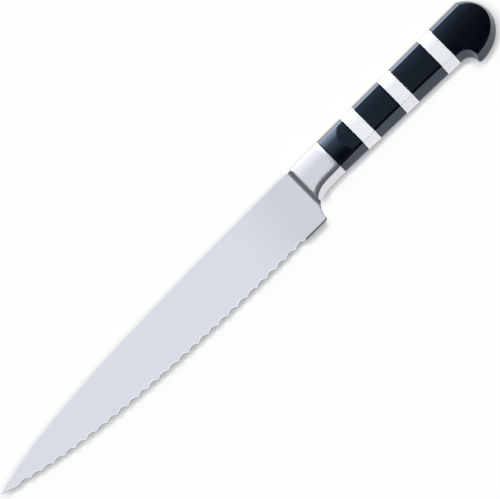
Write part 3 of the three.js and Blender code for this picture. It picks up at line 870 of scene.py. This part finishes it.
def bolster_stations(handle, blade, end):
    """Stations along X, the lift of each above the blade's flank, and how far each is drawn in.

    The lift follows a hollow round of the fillet's radius, a steep wall, a small round and then the full
    height. It is given as a share of that height.
    """
    sink = 0.03 * MM
    wall_lean = 0.12 * MM
    full = (handle.thickness - blade.spine_thickness) / 2
    hollow = np.linspace(0, FILLET_ANGLE, FILLET_STEPS)
    fillet_x = -handle.fillet_foot + handle.fillet_radius * np.sin(hollow)
    fillet_lift = handle.fillet_radius * (1 - np.cos(hollow)) - sink
    wall_top = full - handle.bolster_edge
    climb = supported(FRONT_WALL_LINES)[1:-1]
    wall_x = fillet_x[-1] + climb * wall_lean
    wall_lift = fillet_lift[-1] + climb * (wall_top - fillet_lift[-1])
    turn = np.linspace(0, math.pi / 2, FRONT_EDGE_STEPS)
    edge_x = fillet_x[-1] + wall_lean + handle.bolster_edge * (1 - np.cos(turn))
    edge_lift = wall_top + handle.bolster_edge * np.sin(turn)
    body_x, draw = rounded_stations(edge_x[-1], end, handle.rim_round, BOLSTER_LINES)
    body_x, draw = body_x[RIM_STEPS:], draw[RIM_STEPS:]
    x = np.concatenate([fillet_x, wall_x, edge_x, body_x])
    lift = np.concatenate([fillet_lift, wall_lift, edge_lift, np.full_like(body_x, full)])
    return x, lift / full, np.concatenate([np.zeros(len(x) - len(draw)), draw])


def bolster_surface(blade, handle):
    """The bolster: the handle's section, cut down in front to the lift above the blade's flank, along X.

    The crease depends on the side's height there and that height on the crease, so a few rounds find it.
    """
    crease_rounds = 6
    least_bevel = 0.12 * MM
    foot_rise = 0.05 * MM
    band_share = 0.5
    top_lift = 0.7
    least_top_bevel = 0.03
    lines = HandleLines(blade, handle)
    end = node_ends(blade, handle, "front_grip_block")[0] - ADHESIVE
    x, lift, draw = bolster_stations(handle, blade, end)
    x, lift = x[:, None], lift[:, None]

    def face(at, y):
        flank = flank_height(blade, at, y)
        return flank + lift * (side_height(handle, lines, at, y, handle.block_roll) - flank)

    low = lines.low(x)
    full_crease = lines.crease(x)
    band = np.minimum(handle.edge_band / 2, band_share * face(x, low))
    full_side = side_height(handle, lines, x, full_crease, handle.block_roll)
    bevel_run = (full_crease - low) / (full_side - handle.edge_band / 2)
    crease = full_crease
    for _ in range(crease_rounds):
        crease = low + np.maximum((face(x, crease) - band) * bevel_run, least_bevel)
    foot = blade.spine_height + foot_rise
    top = foot + smooth(lift, 0, top_lift) * (lines.top(x) - foot)
    full_rise = handle.thickness / 2 - handle.edge_band / 2
    bevel = handle.top_bevel * np.clip((face(x, top) - band) / full_rise, least_top_bevel, 1)
    loop = handle_section(
        handle, x, low, crease, top - bevel, top, band, face, BOLSTER_LINES, handle.crease_round
    )
    return carried(x, drawn_in(loop, draw))


def tang_surface(blade, handle):
    """The tang and its threaded end: a rectangle and then a circle, each carried along X, point by angle."""
    root = 1.0 * MM
    chamfer = 0.4 * MM
    start = node_ends(blade, handle, "front_grip_block")[0] - root
    shoulder = node_ends(blade, handle, "rear_ring")[1] - handle.tang_shortfall
    end = node_ends(blade, handle, "forged_blade")[1]
    turn = np.arange(TANG_COLUMNS) * 2 * math.pi / TANG_COLUMNS
    round_one = np.stack([np.cos(turn), np.sin(turn)], axis=1)
    half_sizes = np.array([handle.tang_width / 2, handle.tang_thickness / 2])
    bar = round_one / (np.abs(round_one) / half_sizes).max(axis=1, keepdims=True)
    stud = round_one * handle.thread_diameter / 2
    tip = round_one * (handle.thread_diameter / 2 - chamfer)
    return carried((start, shoulder, shoulder, end - chamfer, end), np.stack([bar, bar, stud, stud, tip]))


# Butt


def butt_ellipse(handle, lines, rear, insets, t):
    """The butt's ellipse, from its lowest point round the rear to the handle's top, at shares t of its turn.

    It is drawn in by an inset at the top, one at the belly and one at the rear.
    """
    top_inset, belly_inset, rear_inset = insets
    centre_x = lines.notch_x + handle.notch_radius + handle.hook_nose
    crest = handle.top_rear + handle.butt_rise - top_inset
    bottom = belly_inset - hook_depth(handle)
    centre_y = (crest + bottom) / 2
    radius_y = (crest - bottom) / 2
    top_angle = math.asin((handle.top_rear - top_inset - centre_y) / radius_y)
    turn = -math.pi / 2 + t * (top_angle + math.pi / 2)
    radius_x = rear - rear_inset - centre_x
    return np.stack([centre_x + radius_x * np.cos(turn), centre_y + radius_y * np.sin(turn)], axis=1)


def butt_outlines(blade, handle):
    """Two matching outlines of the butt block: the wide one at its middle, and the one round its flat side.

    Each runs along the belly, round the finger notch, the hook's nose and the butt, and back along the top.
    """
    lines = HandleLines(blade, handle)
    front, rear = node_ends(blade, handle, "butt_block")
    t = np.linspace(0, 1, CURVE_SAMPLES)
    front_t = np.interp(front, bezier(lines.belly_controls, t)[:, 0], t)
    belly_t = np.linspace(front_t, 1, BUTT_BELLY_POINTS)
    notch_t = np.linspace(0, 1, NOTCH_POINTS)[1:]
    nose_t = np.linspace(0, 1, HOOK_POINTS)[1:]
    rear_t = np.linspace(0, 1, BUTT_REAR_POINTS)
    back_t = np.linspace(0, 1, BUTT_TOP_POINTS)[1:, None]
    front_run = supported(BUTT_FRONT_POINTS)[1:-1, None]
    hook_x = lines.notch_x + handle.notch_radius

    def closed(curves, inset):
        outline = np.concatenate(curves)
        back = outline[-1] + back_t * (np.array([front, lines.top(front) - inset]) - outline[-1])
        down = back[-1] + front_run * (outline[0] - back[-1])
        return np.concatenate([outline, back, down])

    wide_rear = butt_ellipse(handle, lines, rear, (0, 0, 0), rear_t)
    wide_low = wide_rear[0]
    swing = math.pi / 2 * (1 - notch_t)
    notch_centre = np.array([lines.notch_x, -handle.belly_rear - handle.notch_radius])
    notch = notch_centre + handle.notch_radius * np.stack([np.cos(swing), np.sin(swing)], axis=1)
    nose = bezier([notch[-1], (hook_x, wide_low[1]), wide_low], nose_t)
    wide = closed([bezier(lines.belly_controls, belly_t), notch, nose, wide_rear[1:]], 0)

    insets = (handle.top_bevel, handle.belly_bevel_rear, handle.butt_bevel)
    flat_rear = butt_ellipse(handle, lines, rear, insets, rear_t)
    flat_low = flat_rear[0]
    corner_x = hook_x + handle.notch_bevel
    notch_top = np.array(lines.crease_controls[-1])
    notch_end = np.array([corner_x, flat_low[1] + flat_low[0] - corner_x])
    flat_notch = bezier([notch_top, (corner_x, notch_top[1]), notch_end], notch_t)
    flat_nose = bezier([notch_end, (corner_x, flat_low[1]), flat_low], nose_t)
    flat_belly = bezier(lines.crease_controls, belly_t)
    flat = closed([flat_belly, flat_notch, flat_nose, flat_rear[1:]], handle.top_bevel)
    return wide, flat


def butt_surface(blade, handle):
    """The butt block: its wide outline drawn towards the flat side's outline as it rises, mirrored below.

    At height z the outline has gone the share (z - band) / (lip - band) of the way to the lip's edge, and
    the lip takes the rest at its small tilt. The corners are rounded by quadratic Bezier curves in share and
    height, and rings of points shrink across the flat side. The whole height falls off to the rear by
    (x - front)^2 / (2 * radius), and up and down from the crown's line by (y - crown)^2 / (2 * radius) with
    a radius of its own, and a little to the top.
    """
    lip_grows = 0.4 * handle.top_front
    past_side = 1.2
    wide, flat = butt_outlines(blade, handle)
    half = handle.thickness / 2
    band = handle.edge_band / 2
    bevel = np.maximum(np.linalg.norm(flat - wide, axis=1), handle.rim_round)[:, None]
    upness = smooth(wide[:, 1:], lip_grows, handle.top_front)
    lip = handle.belly_lip_share + upness * (handle.lip_share - handle.belly_lip_share)
    lip_tilt = handle.belly_lip_tilt + upness * (handle.lip_tilt - handle.belly_lip_tilt)
    lip_height = half - lip * bevel * np.tan(lip_tilt)
    ease = np.clip(handle.top_round / bevel, 0, BUTT_ROUND_SHARE * lip)
    slant = np.hypot(bevel, half - band)
    band_ease = np.clip(handle.ridge_round / slant, 0, BUTT_ROUND_SHARE)[..., None]
    steep_ease = band_ease / 4

    nought = np.zeros_like(lip)
    ridge, band_corner = spot(nought, nought), spot(nought, band)
    lip_corner, side_corner = spot(1 - lip, lip_height), spot(nought + 1, half)
    band_start = BUTT_ROUND_SHARE * band_corner
    band_end = band_corner + band_ease * (lip_corner - band_corner)
    steep_end = lip_corner + steep_ease * (band_corner - lip_corner)
    lip_start = lip_corner + BUTT_ROUND_SHARE * (side_corner - lip_corner)
    lip_end = lip_corner + (1 - ease / lip)[..., None] * (side_corner - lip_corner)
    path = np.concatenate([
        ridge,
        turned_corner(band_start, band_corner, band_end),
        straight_run(band_end, steep_end),
        turned_corner(steep_end, lip_corner, lip_start),
        turned_corner(lip_end, side_corner, spot(1 + ease, half)),
        spot(1 + past_side * ease, half),
    ], axis=1)
    step, z = path[..., 0].T, path[..., 1].T
    outline = wide[None] + step[..., None] * (flat - wide)[None]
    shrink = np.linspace(0, 1, BUTT_RINGS + 2)[1:-1, None, None]
    outline = np.concatenate([outline, outline[-1:] + shrink * (flat.mean(axis=0) - outline[-1:])])
    z = np.concatenate([z, np.full((BUTT_RINGS, len(wide)), half)])
    back = np.clip(outline[..., 0] - wide[:, 0].min(), 0, None)
    off_crown = outline[..., 1] - handle.crown_height
    fall = back**2 / (2 * handle.butt_radius) + off_crown**2 / (2 * handle.butt_crown)
    fall = fall + upper_fall(handle, outline[..., 1])
    z = z * (1 - fall / half)
    upper = np.concatenate([outline, z[..., None]], axis=2)
    lower = upper[:0:-1] * (1, 1, -1)
    return np.concatenate([lower, upper])


# Materials


class Signal:
    """A socket of a node tree. Arithmetic on it adds Math nodes, and node() adds any other node."""

    def __init__(self, tree, socket=None):
        self.tree = tree
        self.socket = socket

    def node(self, kind, settings=None, inputs=None, output=0):
        """Adds a node: first its settings, then the values or links of its sockets. Gives one output."""
        made = self.tree.nodes.new(kind)
        for name, value in (settings or {}).items():
            setattr(made, name, value)
        for key, value in (inputs or {}).items():
            if isinstance(value, Signal):
                self.tree.links.new(value.socket, made.inputs[key])
            else:
                made.inputs[key].default_value = value
        return Signal(self.tree, made.outputs[output] if made.outputs else None)

    def math(self, operation, first, second):
        """Adds a Math node on two values or sockets."""
        return self.node("ShaderNodeMath", {"operation": operation}, {0: first, 1: second})

    def __add__(self, other):
        return self.math("ADD", self, other)

    def __radd__(self, other):
        return self.math("ADD", other, self)

    def __sub__(self, other):
        return self.math("SUBTRACT", self, other)

    def __rsub__(self, other):
        return self.math("SUBTRACT", other, self)

    def __mul__(self, other):
        return self.math("MULTIPLY", self, other)

    def __rmul__(self, other):
        return self.math("MULTIPLY", other, self)


def new_material(name):
    """An empty node material, with the handle that its nodes are added through."""
    material = bpy.data.materials.new(name)
    material.use_nodes = True
    material.node_tree.nodes.clear()
    return material, Signal(material.node_tree)


def grain(graph, stretch, detail):
    """Noise on Object coordinates, stretched by a number of features to the metre along each axis."""
    place = graph.node("ShaderNodeTexCoord", output="Object")
    mapped = graph.node("ShaderNodeMapping", {"vector_type": "POINT"}, {"Vector": place, "Scale": stretch})
    sockets = {"Vector": mapped, "Scale": 1.0, "Detail": detail, "Roughness": GRAIN_ROUGHNESS}
    return graph.node("ShaderNodeTexNoise", None, sockets)


def along_knife(graph):
    """The Object coordinate along the knife, which is the frame's X."""
    place = graph.node("ShaderNodeTexCoord", output="Object")
    return graph.node("ShaderNodeSeparateXYZ", None, {"Vector": place}, "X")


def marked(graph, label):
    """A mark that is stored on a mesh's points."""
    return graph.node("ShaderNodeAttribute", {"attribute_name": label}, None, "Fac")


def faded(graph, value, start, end):
    """Nought at start and one at end, with a soft change between them."""
    sockets = {"Value": value, "From Min": start, "From Max": end}
    return graph.node("ShaderNodeMapRange", {"interpolation_type": "SMOOTHSTEP"}, sockets)


def tinted(graph, mask, first, second):
    """A colour between two, by a mask. The first of them may be a socket."""
    base = first if isinstance(first, Signal) else (*first, 1)
    ends = {"Factor": mask, MIX_A: base, MIX_B: (*second, 1)}
    return graph.node("ShaderNodeMix", {"data_type": "RGBA"}, ends, MIX_COLOUR)


def scaled(tone, factor):
    """A colour made lighter or darker, kept below one."""
    return tuple(min(channel * factor, 1.0) for channel in tone)


def relief(graph, strength, distance, height):
    """A surface normal that follows a height."""
    return graph.node("ShaderNodeBump", None, {"Strength": strength, "Distance": distance, "Height": height})


def close_shader(graph, sockets):
    """Adds the surface shader and the output."""
    shader = graph.node("ShaderNodeBsdfPrincipled", None, sockets)
    graph.node("ShaderNodeOutputMaterial", None, {"Surface": shader})


def steel(name, tone, roughness, line_stretch, line_depth, contrast):
    """Ground steel: fine lines along one axis in colour, roughness and relief, over broad faint clouds."""
    cloud_stretch = (38, 38, 38)
    scratch_scale = 0.23
    scratch_share = 0.3
    line_relief = 0.3
    line_gloss = 0.05
    cloud_gloss = 0.04
    material, graph = new_material(name)
    lines = grain(graph, line_stretch, FINE)
    clouds = grain(graph, cloud_stretch, BROAD)
    scratches = grain(graph, tuple(scratch_scale * features for features in line_stretch), PLAIN)
    mask = (1 - scratch_share) * lines + scratch_share * scratches
    middle = roughness - (line_gloss + cloud_gloss) / 2
    close_shader(graph, {
        "Base Color": tinted(graph, mask, scaled(tone, 1 - contrast), scaled(tone, 1 + contrast)),
        "Metallic": 1.0,
        "Roughness": middle + line_gloss * mask + cloud_gloss * clouds,
        "Normal": relief(graph, line_relief, line_depth, mask),
    })
    return material


def blade_steel(finish):
    """Satin blade: lines ground square to its length, and a painted shade, a deeper tone, beside the
    bolster.

    The ground strips have coarser lines and more gloss, and a painted highlight makes them brighter; a
    painted shade makes the honed edge's own line dark.
    """
    line_stretch = (2600, 46, 46)
    coarse_stretch = (900, 160, 60)
    cloud_stretch = (30, 42, 30)
    contrast = 0.05
    line_gloss = 0.04
    cloud_gloss = 0.04
    ground_gloss = 0.16
    line_relief = 0.35
    line_depth = 0.004 * MM
    material, graph = new_material("blade_satin_steel")
    lines = grain(graph, line_stretch, FINE)
    coarse = grain(graph, coarse_stretch, MEDIUM)
    clouds = grain(graph, cloud_stretch, BROAD)
    ground = marked(graph, "ground")
    mask = lines * (1 - ground) + coarse * ground
    tone = tuple(finish.blade_colour)
    # Painted shade: the satin's colour deepens towards the bolster, mixed in with the grain lines.
    line_share = 2 * contrast / (2 * contrast + finish.painted_heel_shade)
    painted_shade_near_bolster = faded(graph, along_knife(graph), finish.painted_heel_shade_start, finish.painted_heel_shade_end)
    shade = (1 - line_share) * (1 - painted_shade_near_bolster) + line_share * mask
    satin = tinted(graph, shade, scaled(tone, 1 - contrast - finish.painted_heel_shade), scaled(tone, 1 + contrast))
    # Painted highlight: the ground strips' colour is made brighter than the satin's.
    satin_with_painted_highlight = tinted(graph, ground, satin, scaled(tone, finish.painted_edge_highlight))
    middle = finish.blade_roughness - (line_gloss + cloud_gloss) / 2
    close_shader(graph, {
        # Painted shade: the honed mark turns the edge's own line nearly black.
        "Base Color": tinted(graph, marked(graph, "honed"), satin_with_painted_highlight, scaled(tone, finish.painted_edge_shade)),
        "Metallic": finish.blade_mirror,
        "Specular IOR Level": 0.0,
        "Roughness": middle + line_gloss * mask + cloud_gloss * clouds - ground_gloss * ground,
        "Normal": relief(graph, line_relief, line_depth, mask),
    })
    return material


def black_grip(finish):
    """Polished black: a trace of moulded grain, faint rubbing marks and slightly uneven gloss."""
    skin_stretch = (900, 900, 900)
    rubbing_stretch = (60, 420, 420)
    cloud_stretch = (55, 55, 55)
    rubbing_share = 0.4
    contrast = 0.2
    gloss = 0.06
    grain_relief = 0.12
    grain_depth = 0.01 * MM
    material, graph = new_material("black_gloss_grip")
    skin_grain = grain(graph, skin_stretch, MEDIUM)
    rubbing = grain(graph, rubbing_stretch, MEDIUM)
    clouds = grain(graph, cloud_stretch, BROAD)
    tone = tuple(finish.grip_colour)
    height = (1 - rubbing_share) * skin_grain + rubbing_share * rubbing
    close_shader(graph, {
        "Base Color": tinted(graph, clouds, scaled(tone, 1 - contrast), scaled(tone, 1 + contrast)),
        "Roughness": finish.grip_roughness - gloss + gloss * rubbing + gloss * clouds,
        "Specular IOR Level": finish.grip_specular,
        "Specular Tint": (*finish.grip_tint, 1),
        "Normal": relief(graph, grain_relief, grain_depth, height),
    })
    return material


# Operators


class KNIFE_OT_blade(bpy.types.Operator):
    """Make the scalloped blade"""

    bl_idname = "slicing_knife.blade"
    bl_label = "Make blade"

    def execute(self, context):
        scene = context.scene
        grid, ground, honed = blade_surface(scene.knife_blade, scene.knife_handle)
        marks = [("ground", ground), ("honed", honed)]
        material = blade_steel(scene.knife_finishes)
        make_piece("blade", grid, False, BLADE_CREASE_ANGLE, material, "forged_blade", marks)
        return {"FINISHED"}


class KNIFE_OT_bolster(bpy.types.Operator):
    """Make the bolster that is forged in one with the blade"""

    bl_idname = "slicing_knife.bolster"
    bl_label = "Make bolster"

    def execute(self, context):
        scene = context.scene
        material = steel(
            "bolster_steel",
            tuple(scene.knife_finishes.bolster_colour),
            scene.knife_finishes.bolster_roughness,
            line_stretch=(2600, 70, 70),
            line_depth=0.0015 * MM,
            contrast=0.03,
        )
        grid = bolster_surface(scene.knife_blade, scene.knife_handle)
        make_piece("bolster", grid, False, HANDLE_CREASE_ANGLE, material, "forged_blade")
        return {"FINISHED"}


class KNIFE_OT_tang(bpy.types.Operator):
    """Make the tang and its threaded end, inside the handle"""

    bl_idname = "slicing_knife.tang"
    bl_label = "Make tang"

    def execute(self, context):
        scene = context.scene
        finish = scene.knife_finishes
        material = steel(
            "tang_steel",
            scaled(tuple(finish.fastener_colour), finish.tang_tone),
            finish.fastener_roughness,
            line_stretch=(90, 1200, 1200),
            line_depth=0.01 * MM,
            contrast=0.08,
        )
        grid = tang_surface(scene.knife_blade, scene.knife_handle)
        make_piece("tang", grid, False, HANDLE_CREASE_ANGLE, material, "forged_blade")
        return {"FINISHED"}


class KNIFE_OT_grip_blocks(bpy.types.Operator):
    """Make the three black blocks that are threaded on the tang"""

    bl_idname = "slicing_knife.grip_blocks"
    bl_label = "Make grip blocks"

    def execute(self, context):
        scene = context.scene
        blade, handle = scene.knife_blade, scene.knife_handle
        material = black_grip(scene.knife_finishes)
        for node in GRIP_BLOCKS:
            grid = stacked_surface(blade, handle, node, BLOCK_STATIONS, BLOCK_COLUMNS, handle.block_roll)
            make_piece(node + "_finish", grid, True, HANDLE_CREASE_ANGLE, material, node)
        return {"FINISHED"}


class KNIFE_OT_rings(bpy.types.Operator):
    """Make the three broad steel rings between the blocks"""

    bl_idname = "slicing_knife.rings"
    bl_label = "Make rings"

    def execute(self, context):
        scene = context.scene
        blade, handle = scene.knife_blade, scene.knife_handle
        material = steel(
            "ring_satin_steel",
            tuple(scene.knife_finishes.ring_colour),
            scene.knife_finishes.ring_roughness,
            line_stretch=(2600, 60, 60),
            line_depth=0.0015 * MM,
            contrast=0.03,
        )
        for node in RINGS:
            grid = stacked_surface(blade, handle, node, RING_LINES, RING_LINES, handle.ring_roll)
            make_piece(node + "_finish", grid, True, HANDLE_CREASE_ANGLE, material, node)
        return {"FINISHED"}


class KNIFE_OT_butt(bpy.types.Operator):
    """Make the black butt block with its finger notch and hook"""

    bl_idname = "slicing_knife.butt"
    bl_label = "Make butt block"

    def execute(self, context):
        scene = context.scene
        grid = butt_surface(scene.knife_blade, scene.knife_handle)
        material = bpy.data.materials["black_gloss_grip"]
        node = "butt_block"
        make_piece(node + "_finish", grid, False, HANDLE_CREASE_ANGLE, material, node)
        return {"FINISHED"}


class KNIFE_OT_fasteners(bpy.types.Operator):
    """Finish the nut, the washer and the dowels, which keep their packed shapes"""

    bl_idname = "slicing_knife.fasteners"
    bl_label = "Finish fasteners"

    def execute(self, context):
        finish = context.scene.knife_finishes
        material = steel(
            "fastener_steel",
            tuple(finish.fastener_colour),
            finish.fastener_roughness,
            line_stretch=(2400, 90, 90),
            line_depth=0.008 * MM,
            contrast=0.06,
        )
        for node in FASTENERS:
            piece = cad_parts[node]
            piece.data.materials.clear()
            piece.data.materials.append(material)
        return {"FINISHED"}


def floor_shade(graph, stage):
    """How deep the floor's painted shadow is: the share of a leaning sky, within a reach, that the knife
    hides, times a gain.

    Reach and gain change from the blade's to the handle's at the heel.
    """
    sky_samples = 32
    scene = bpy.context.scene
    bolster_front = knife_origin(scene.knife_blade, scene.knife_handle)[0]
    start, end = bolster_front + stage.shade_change, bolster_front + stage.shade_changed
    on_handle = faded(graph, along_knife(graph), start, end)
    reach = stage.blade_reach + (stage.handle_reach - stage.blade_reach) * on_handle
    gain = stage.blade_gain + (stage.handle_gain - stage.blade_gain) * on_handle
    lean = {"Y": math.sin(stage.shade_tilt), "Z": math.cos(stage.shade_tilt)}
    sky = {"Distance": reach, "Normal": graph.node("ShaderNodeCombineXYZ", None, lean)}
    open_sky = graph.node("ShaderNodeAmbientOcclusion", {"samples": sky_samples}, sky, "AO")
    clamped = {"operation": "MULTIPLY", "use_clamp": True}
    return graph.node("ShaderNodeMath", clamped, {0: 1 - open_sky, 1: gain})


def make_floor(stage):
    """A plain floor just under the knife, which shows a pale backdrop with a painted soft shadow of the
    knife.
    """
    size = stage.floor_size
    z = CAD_BOX[0].z - FLOOR_GAP
    mesh = bpy.data.meshes.new("floor")
    corners = [(-size, -size, z), (size, -size, z), (size, size, z), (-size, size, z)]
    mesh.from_pydata(corners, [], [(0, 1, 2, 3)])
    material, graph = new_material("pale_floor")
    seen = graph.node("ShaderNodeLightPath", output="Is Camera Ray")
    mirrored = graph.node("ShaderNodeLightPath", output="Is Glossy Ray")
    passed = graph.node("ShaderNodeLightPath", output="Is Transmission Ray")
    lit = graph.node("ShaderNodeBsdfDiffuse", None, {"Color": (*stage.floor_colour, 1)})
    # Painted shadow: the backdrop's colour turns to the shade's colour close beside the knife.
    tone = tinted(graph, floor_shade(graph, stage), stage.backdrop_colour, stage.shade_colour)
    pale = graph.node("ShaderNodeEmission", None, {"Color": tone, "Strength": 1.0})
    both = {0: stage.backdrop_share * (seen + mirrored + passed), 1: lit, 2: pale}
    surface = graph.node("ShaderNodeMixShader", None, both)
    graph.node("ShaderNodeOutputMaterial", None, {"Surface": surface})
    mesh.materials.append(material)
    floor = bpy.data.objects.new("floor", mesh)
    bpy.context.scene.collection.objects.link(floor)


def make_light(stage):
    """A dim room with a dark ceiling, a broad soft key on the spine's side and a dim fill overhead."""
    world = bpy.data.worlds.new("studio")
    bpy.context.scene.world = world
    world.use_nodes = True
    world.node_tree.nodes.clear()
    graph = Signal(world.node_tree)
    direction = graph.node("ShaderNodeTexCoord", output="Generated")

    def soft_spot(tilt, turn, core, edge):
        aim = (-math.sin(tilt) * math.sin(turn), math.sin(tilt) * math.cos(turn), math.cos(tilt))
        dot = {"operation": "DOT_PRODUCT"}
        near = graph.node("ShaderNodeVectorMath", dot, {0: direction, 1: aim}, "Value")
        return faded(graph, near, math.cos(edge), math.cos(core))

    key = soft_spot(stage.key_tilt, stage.key_turn, stage.key_core, stage.key_edge)
    fill = soft_spot(stage.fill_tilt, stage.fill_turn, stage.fill_core, stage.fill_edge)
    ceiling = soft_spot(0, 0, stage.ceiling_core, stage.ceiling_edge)
    plain = stage.room_light * (1 - ceiling) + stage.key_light * key
    parts = {0: stage.fill_light * fill, 1: stage.fill_colour, 2: plain}
    light = graph.node("ShaderNodeVectorMath", {"operation": "MULTIPLY_ADD"}, parts)
    background = graph.node("ShaderNodeBackground", None, {"Color": light, "Strength": 1.0})
    graph.node("ShaderNodeOutputWorld", None, {"Surface": background})


def make_camera(stage):
    """A long lens straight over the knife, turned so that the knife lies aslant in the picture."""
    camera = bpy.data.cameras.new("camera")
    camera.sensor_width = 36.0
    camera.lens = camera.sensor_width * stage.camera_distance / stage.picture_width
    camera.clip_end = 100.0
    turn = stage.camera_turn
    right = Vector((math.cos(turn), -math.sin(turn), 0))
    up = Vector((math.sin(turn), math.cos(turn), 0))
    back = Vector((0, 0, 1))
    aim = Vector((stage.aim_x, stage.aim_y, (CAD_BOX[0].z + CAD_BOX[1].z) / 2))
    seat = bpy.data.objects.new("camera", camera)
    turned = Matrix((right, up, back)).transposed().to_4x4()
    seat.matrix_world = Matrix.Translation(aim + back * stage.camera_distance) @ turned
    bpy.context.scene.collection.objects.link(seat)
    bpy.context.scene.camera = seat


class KNIFE_OT_stage(bpy.types.Operator):
    """Make the floor, the light and the camera"""

    bl_idname = "slicing_knife.stage"
    bl_label = "Make stage"

    def execute(self, context):
        stage = context.scene.knife_stage
        make_floor(stage)
        make_light(stage)
        make_camera(stage)
        context.scene.view_settings.view_transform = "Standard"
        return {"FINISHED"}


OPERATORS = (
    KNIFE_OT_blade,
    KNIFE_OT_bolster,
    KNIFE_OT_tang,
    KNIFE_OT_grip_blocks,
    KNIFE_OT_rings,
    KNIFE_OT_butt,
    KNIFE_OT_fasteners,
    KNIFE_OT_stage,
)
GROUPS = {
    "knife_blade": BladeSizes,
    "knife_handle": HandleSizes,
    "knife_finishes": KnifeFinishes,
    "knife_stage": StageSettings,
}


class VIEW3D_PT_slicing_knife(bpy.types.Panel):
    """The knife's steps, and the sizes and colours that they use"""

    bl_label = "Serrated Slicing Knife"
    bl_space_type = "VIEW_3D"
    bl_region_type = "UI"
    bl_category = "Knife"

    def draw(self, context):
        for operator in OPERATORS:
            self.layout.operator(operator.bl_idname)
        for name, group in GROUPS.items():
            box = self.layout.box()
            box.label(text=group.__doc__)
            for prop in group.__annotations__:
                box.prop(getattr(context.scene, name), prop)


def register():
    """Adds the classes, and the groups of settings on the scene."""
    for group in GROUPS.values():
        bpy.utils.register_class(group)
    for operator in OPERATORS:
        bpy.utils.register_class(operator)
    bpy.utils.register_class(VIEW3D_PT_slicing_knife)
    for name, group in GROUPS.items():
        setattr(bpy.types.Scene, name, PointerProperty(type=group))


def unregister():
    """Takes away what register added, in the opposite order."""
    for name in GROUPS:
        delattr(bpy.types.Scene, name)
    bpy.utils.unregister_class(VIEW3D_PT_slicing_knife)
    for operator in reversed(OPERATORS):
        bpy.utils.unregister_class(operator)
    for group in reversed(tuple(GROUPS.values())):
        bpy.utils.unregister_class(group)


def main():
    """Builds the knife and its stage."""
    register()
    bpy.ops.slicing_knife.blade()
    bpy.ops.slicing_knife.bolster()
    bpy.ops.slicing_knife.tang()
    bpy.ops.slicing_knife.grip_blocks()
    bpy.ops.slicing_knife.rings()
    bpy.ops.slicing_knife.butt()
    bpy.ops.slicing_knife.fasteners()
    bpy.ops.slicing_knife.stage()


if __name__ == "__main__":
    main()
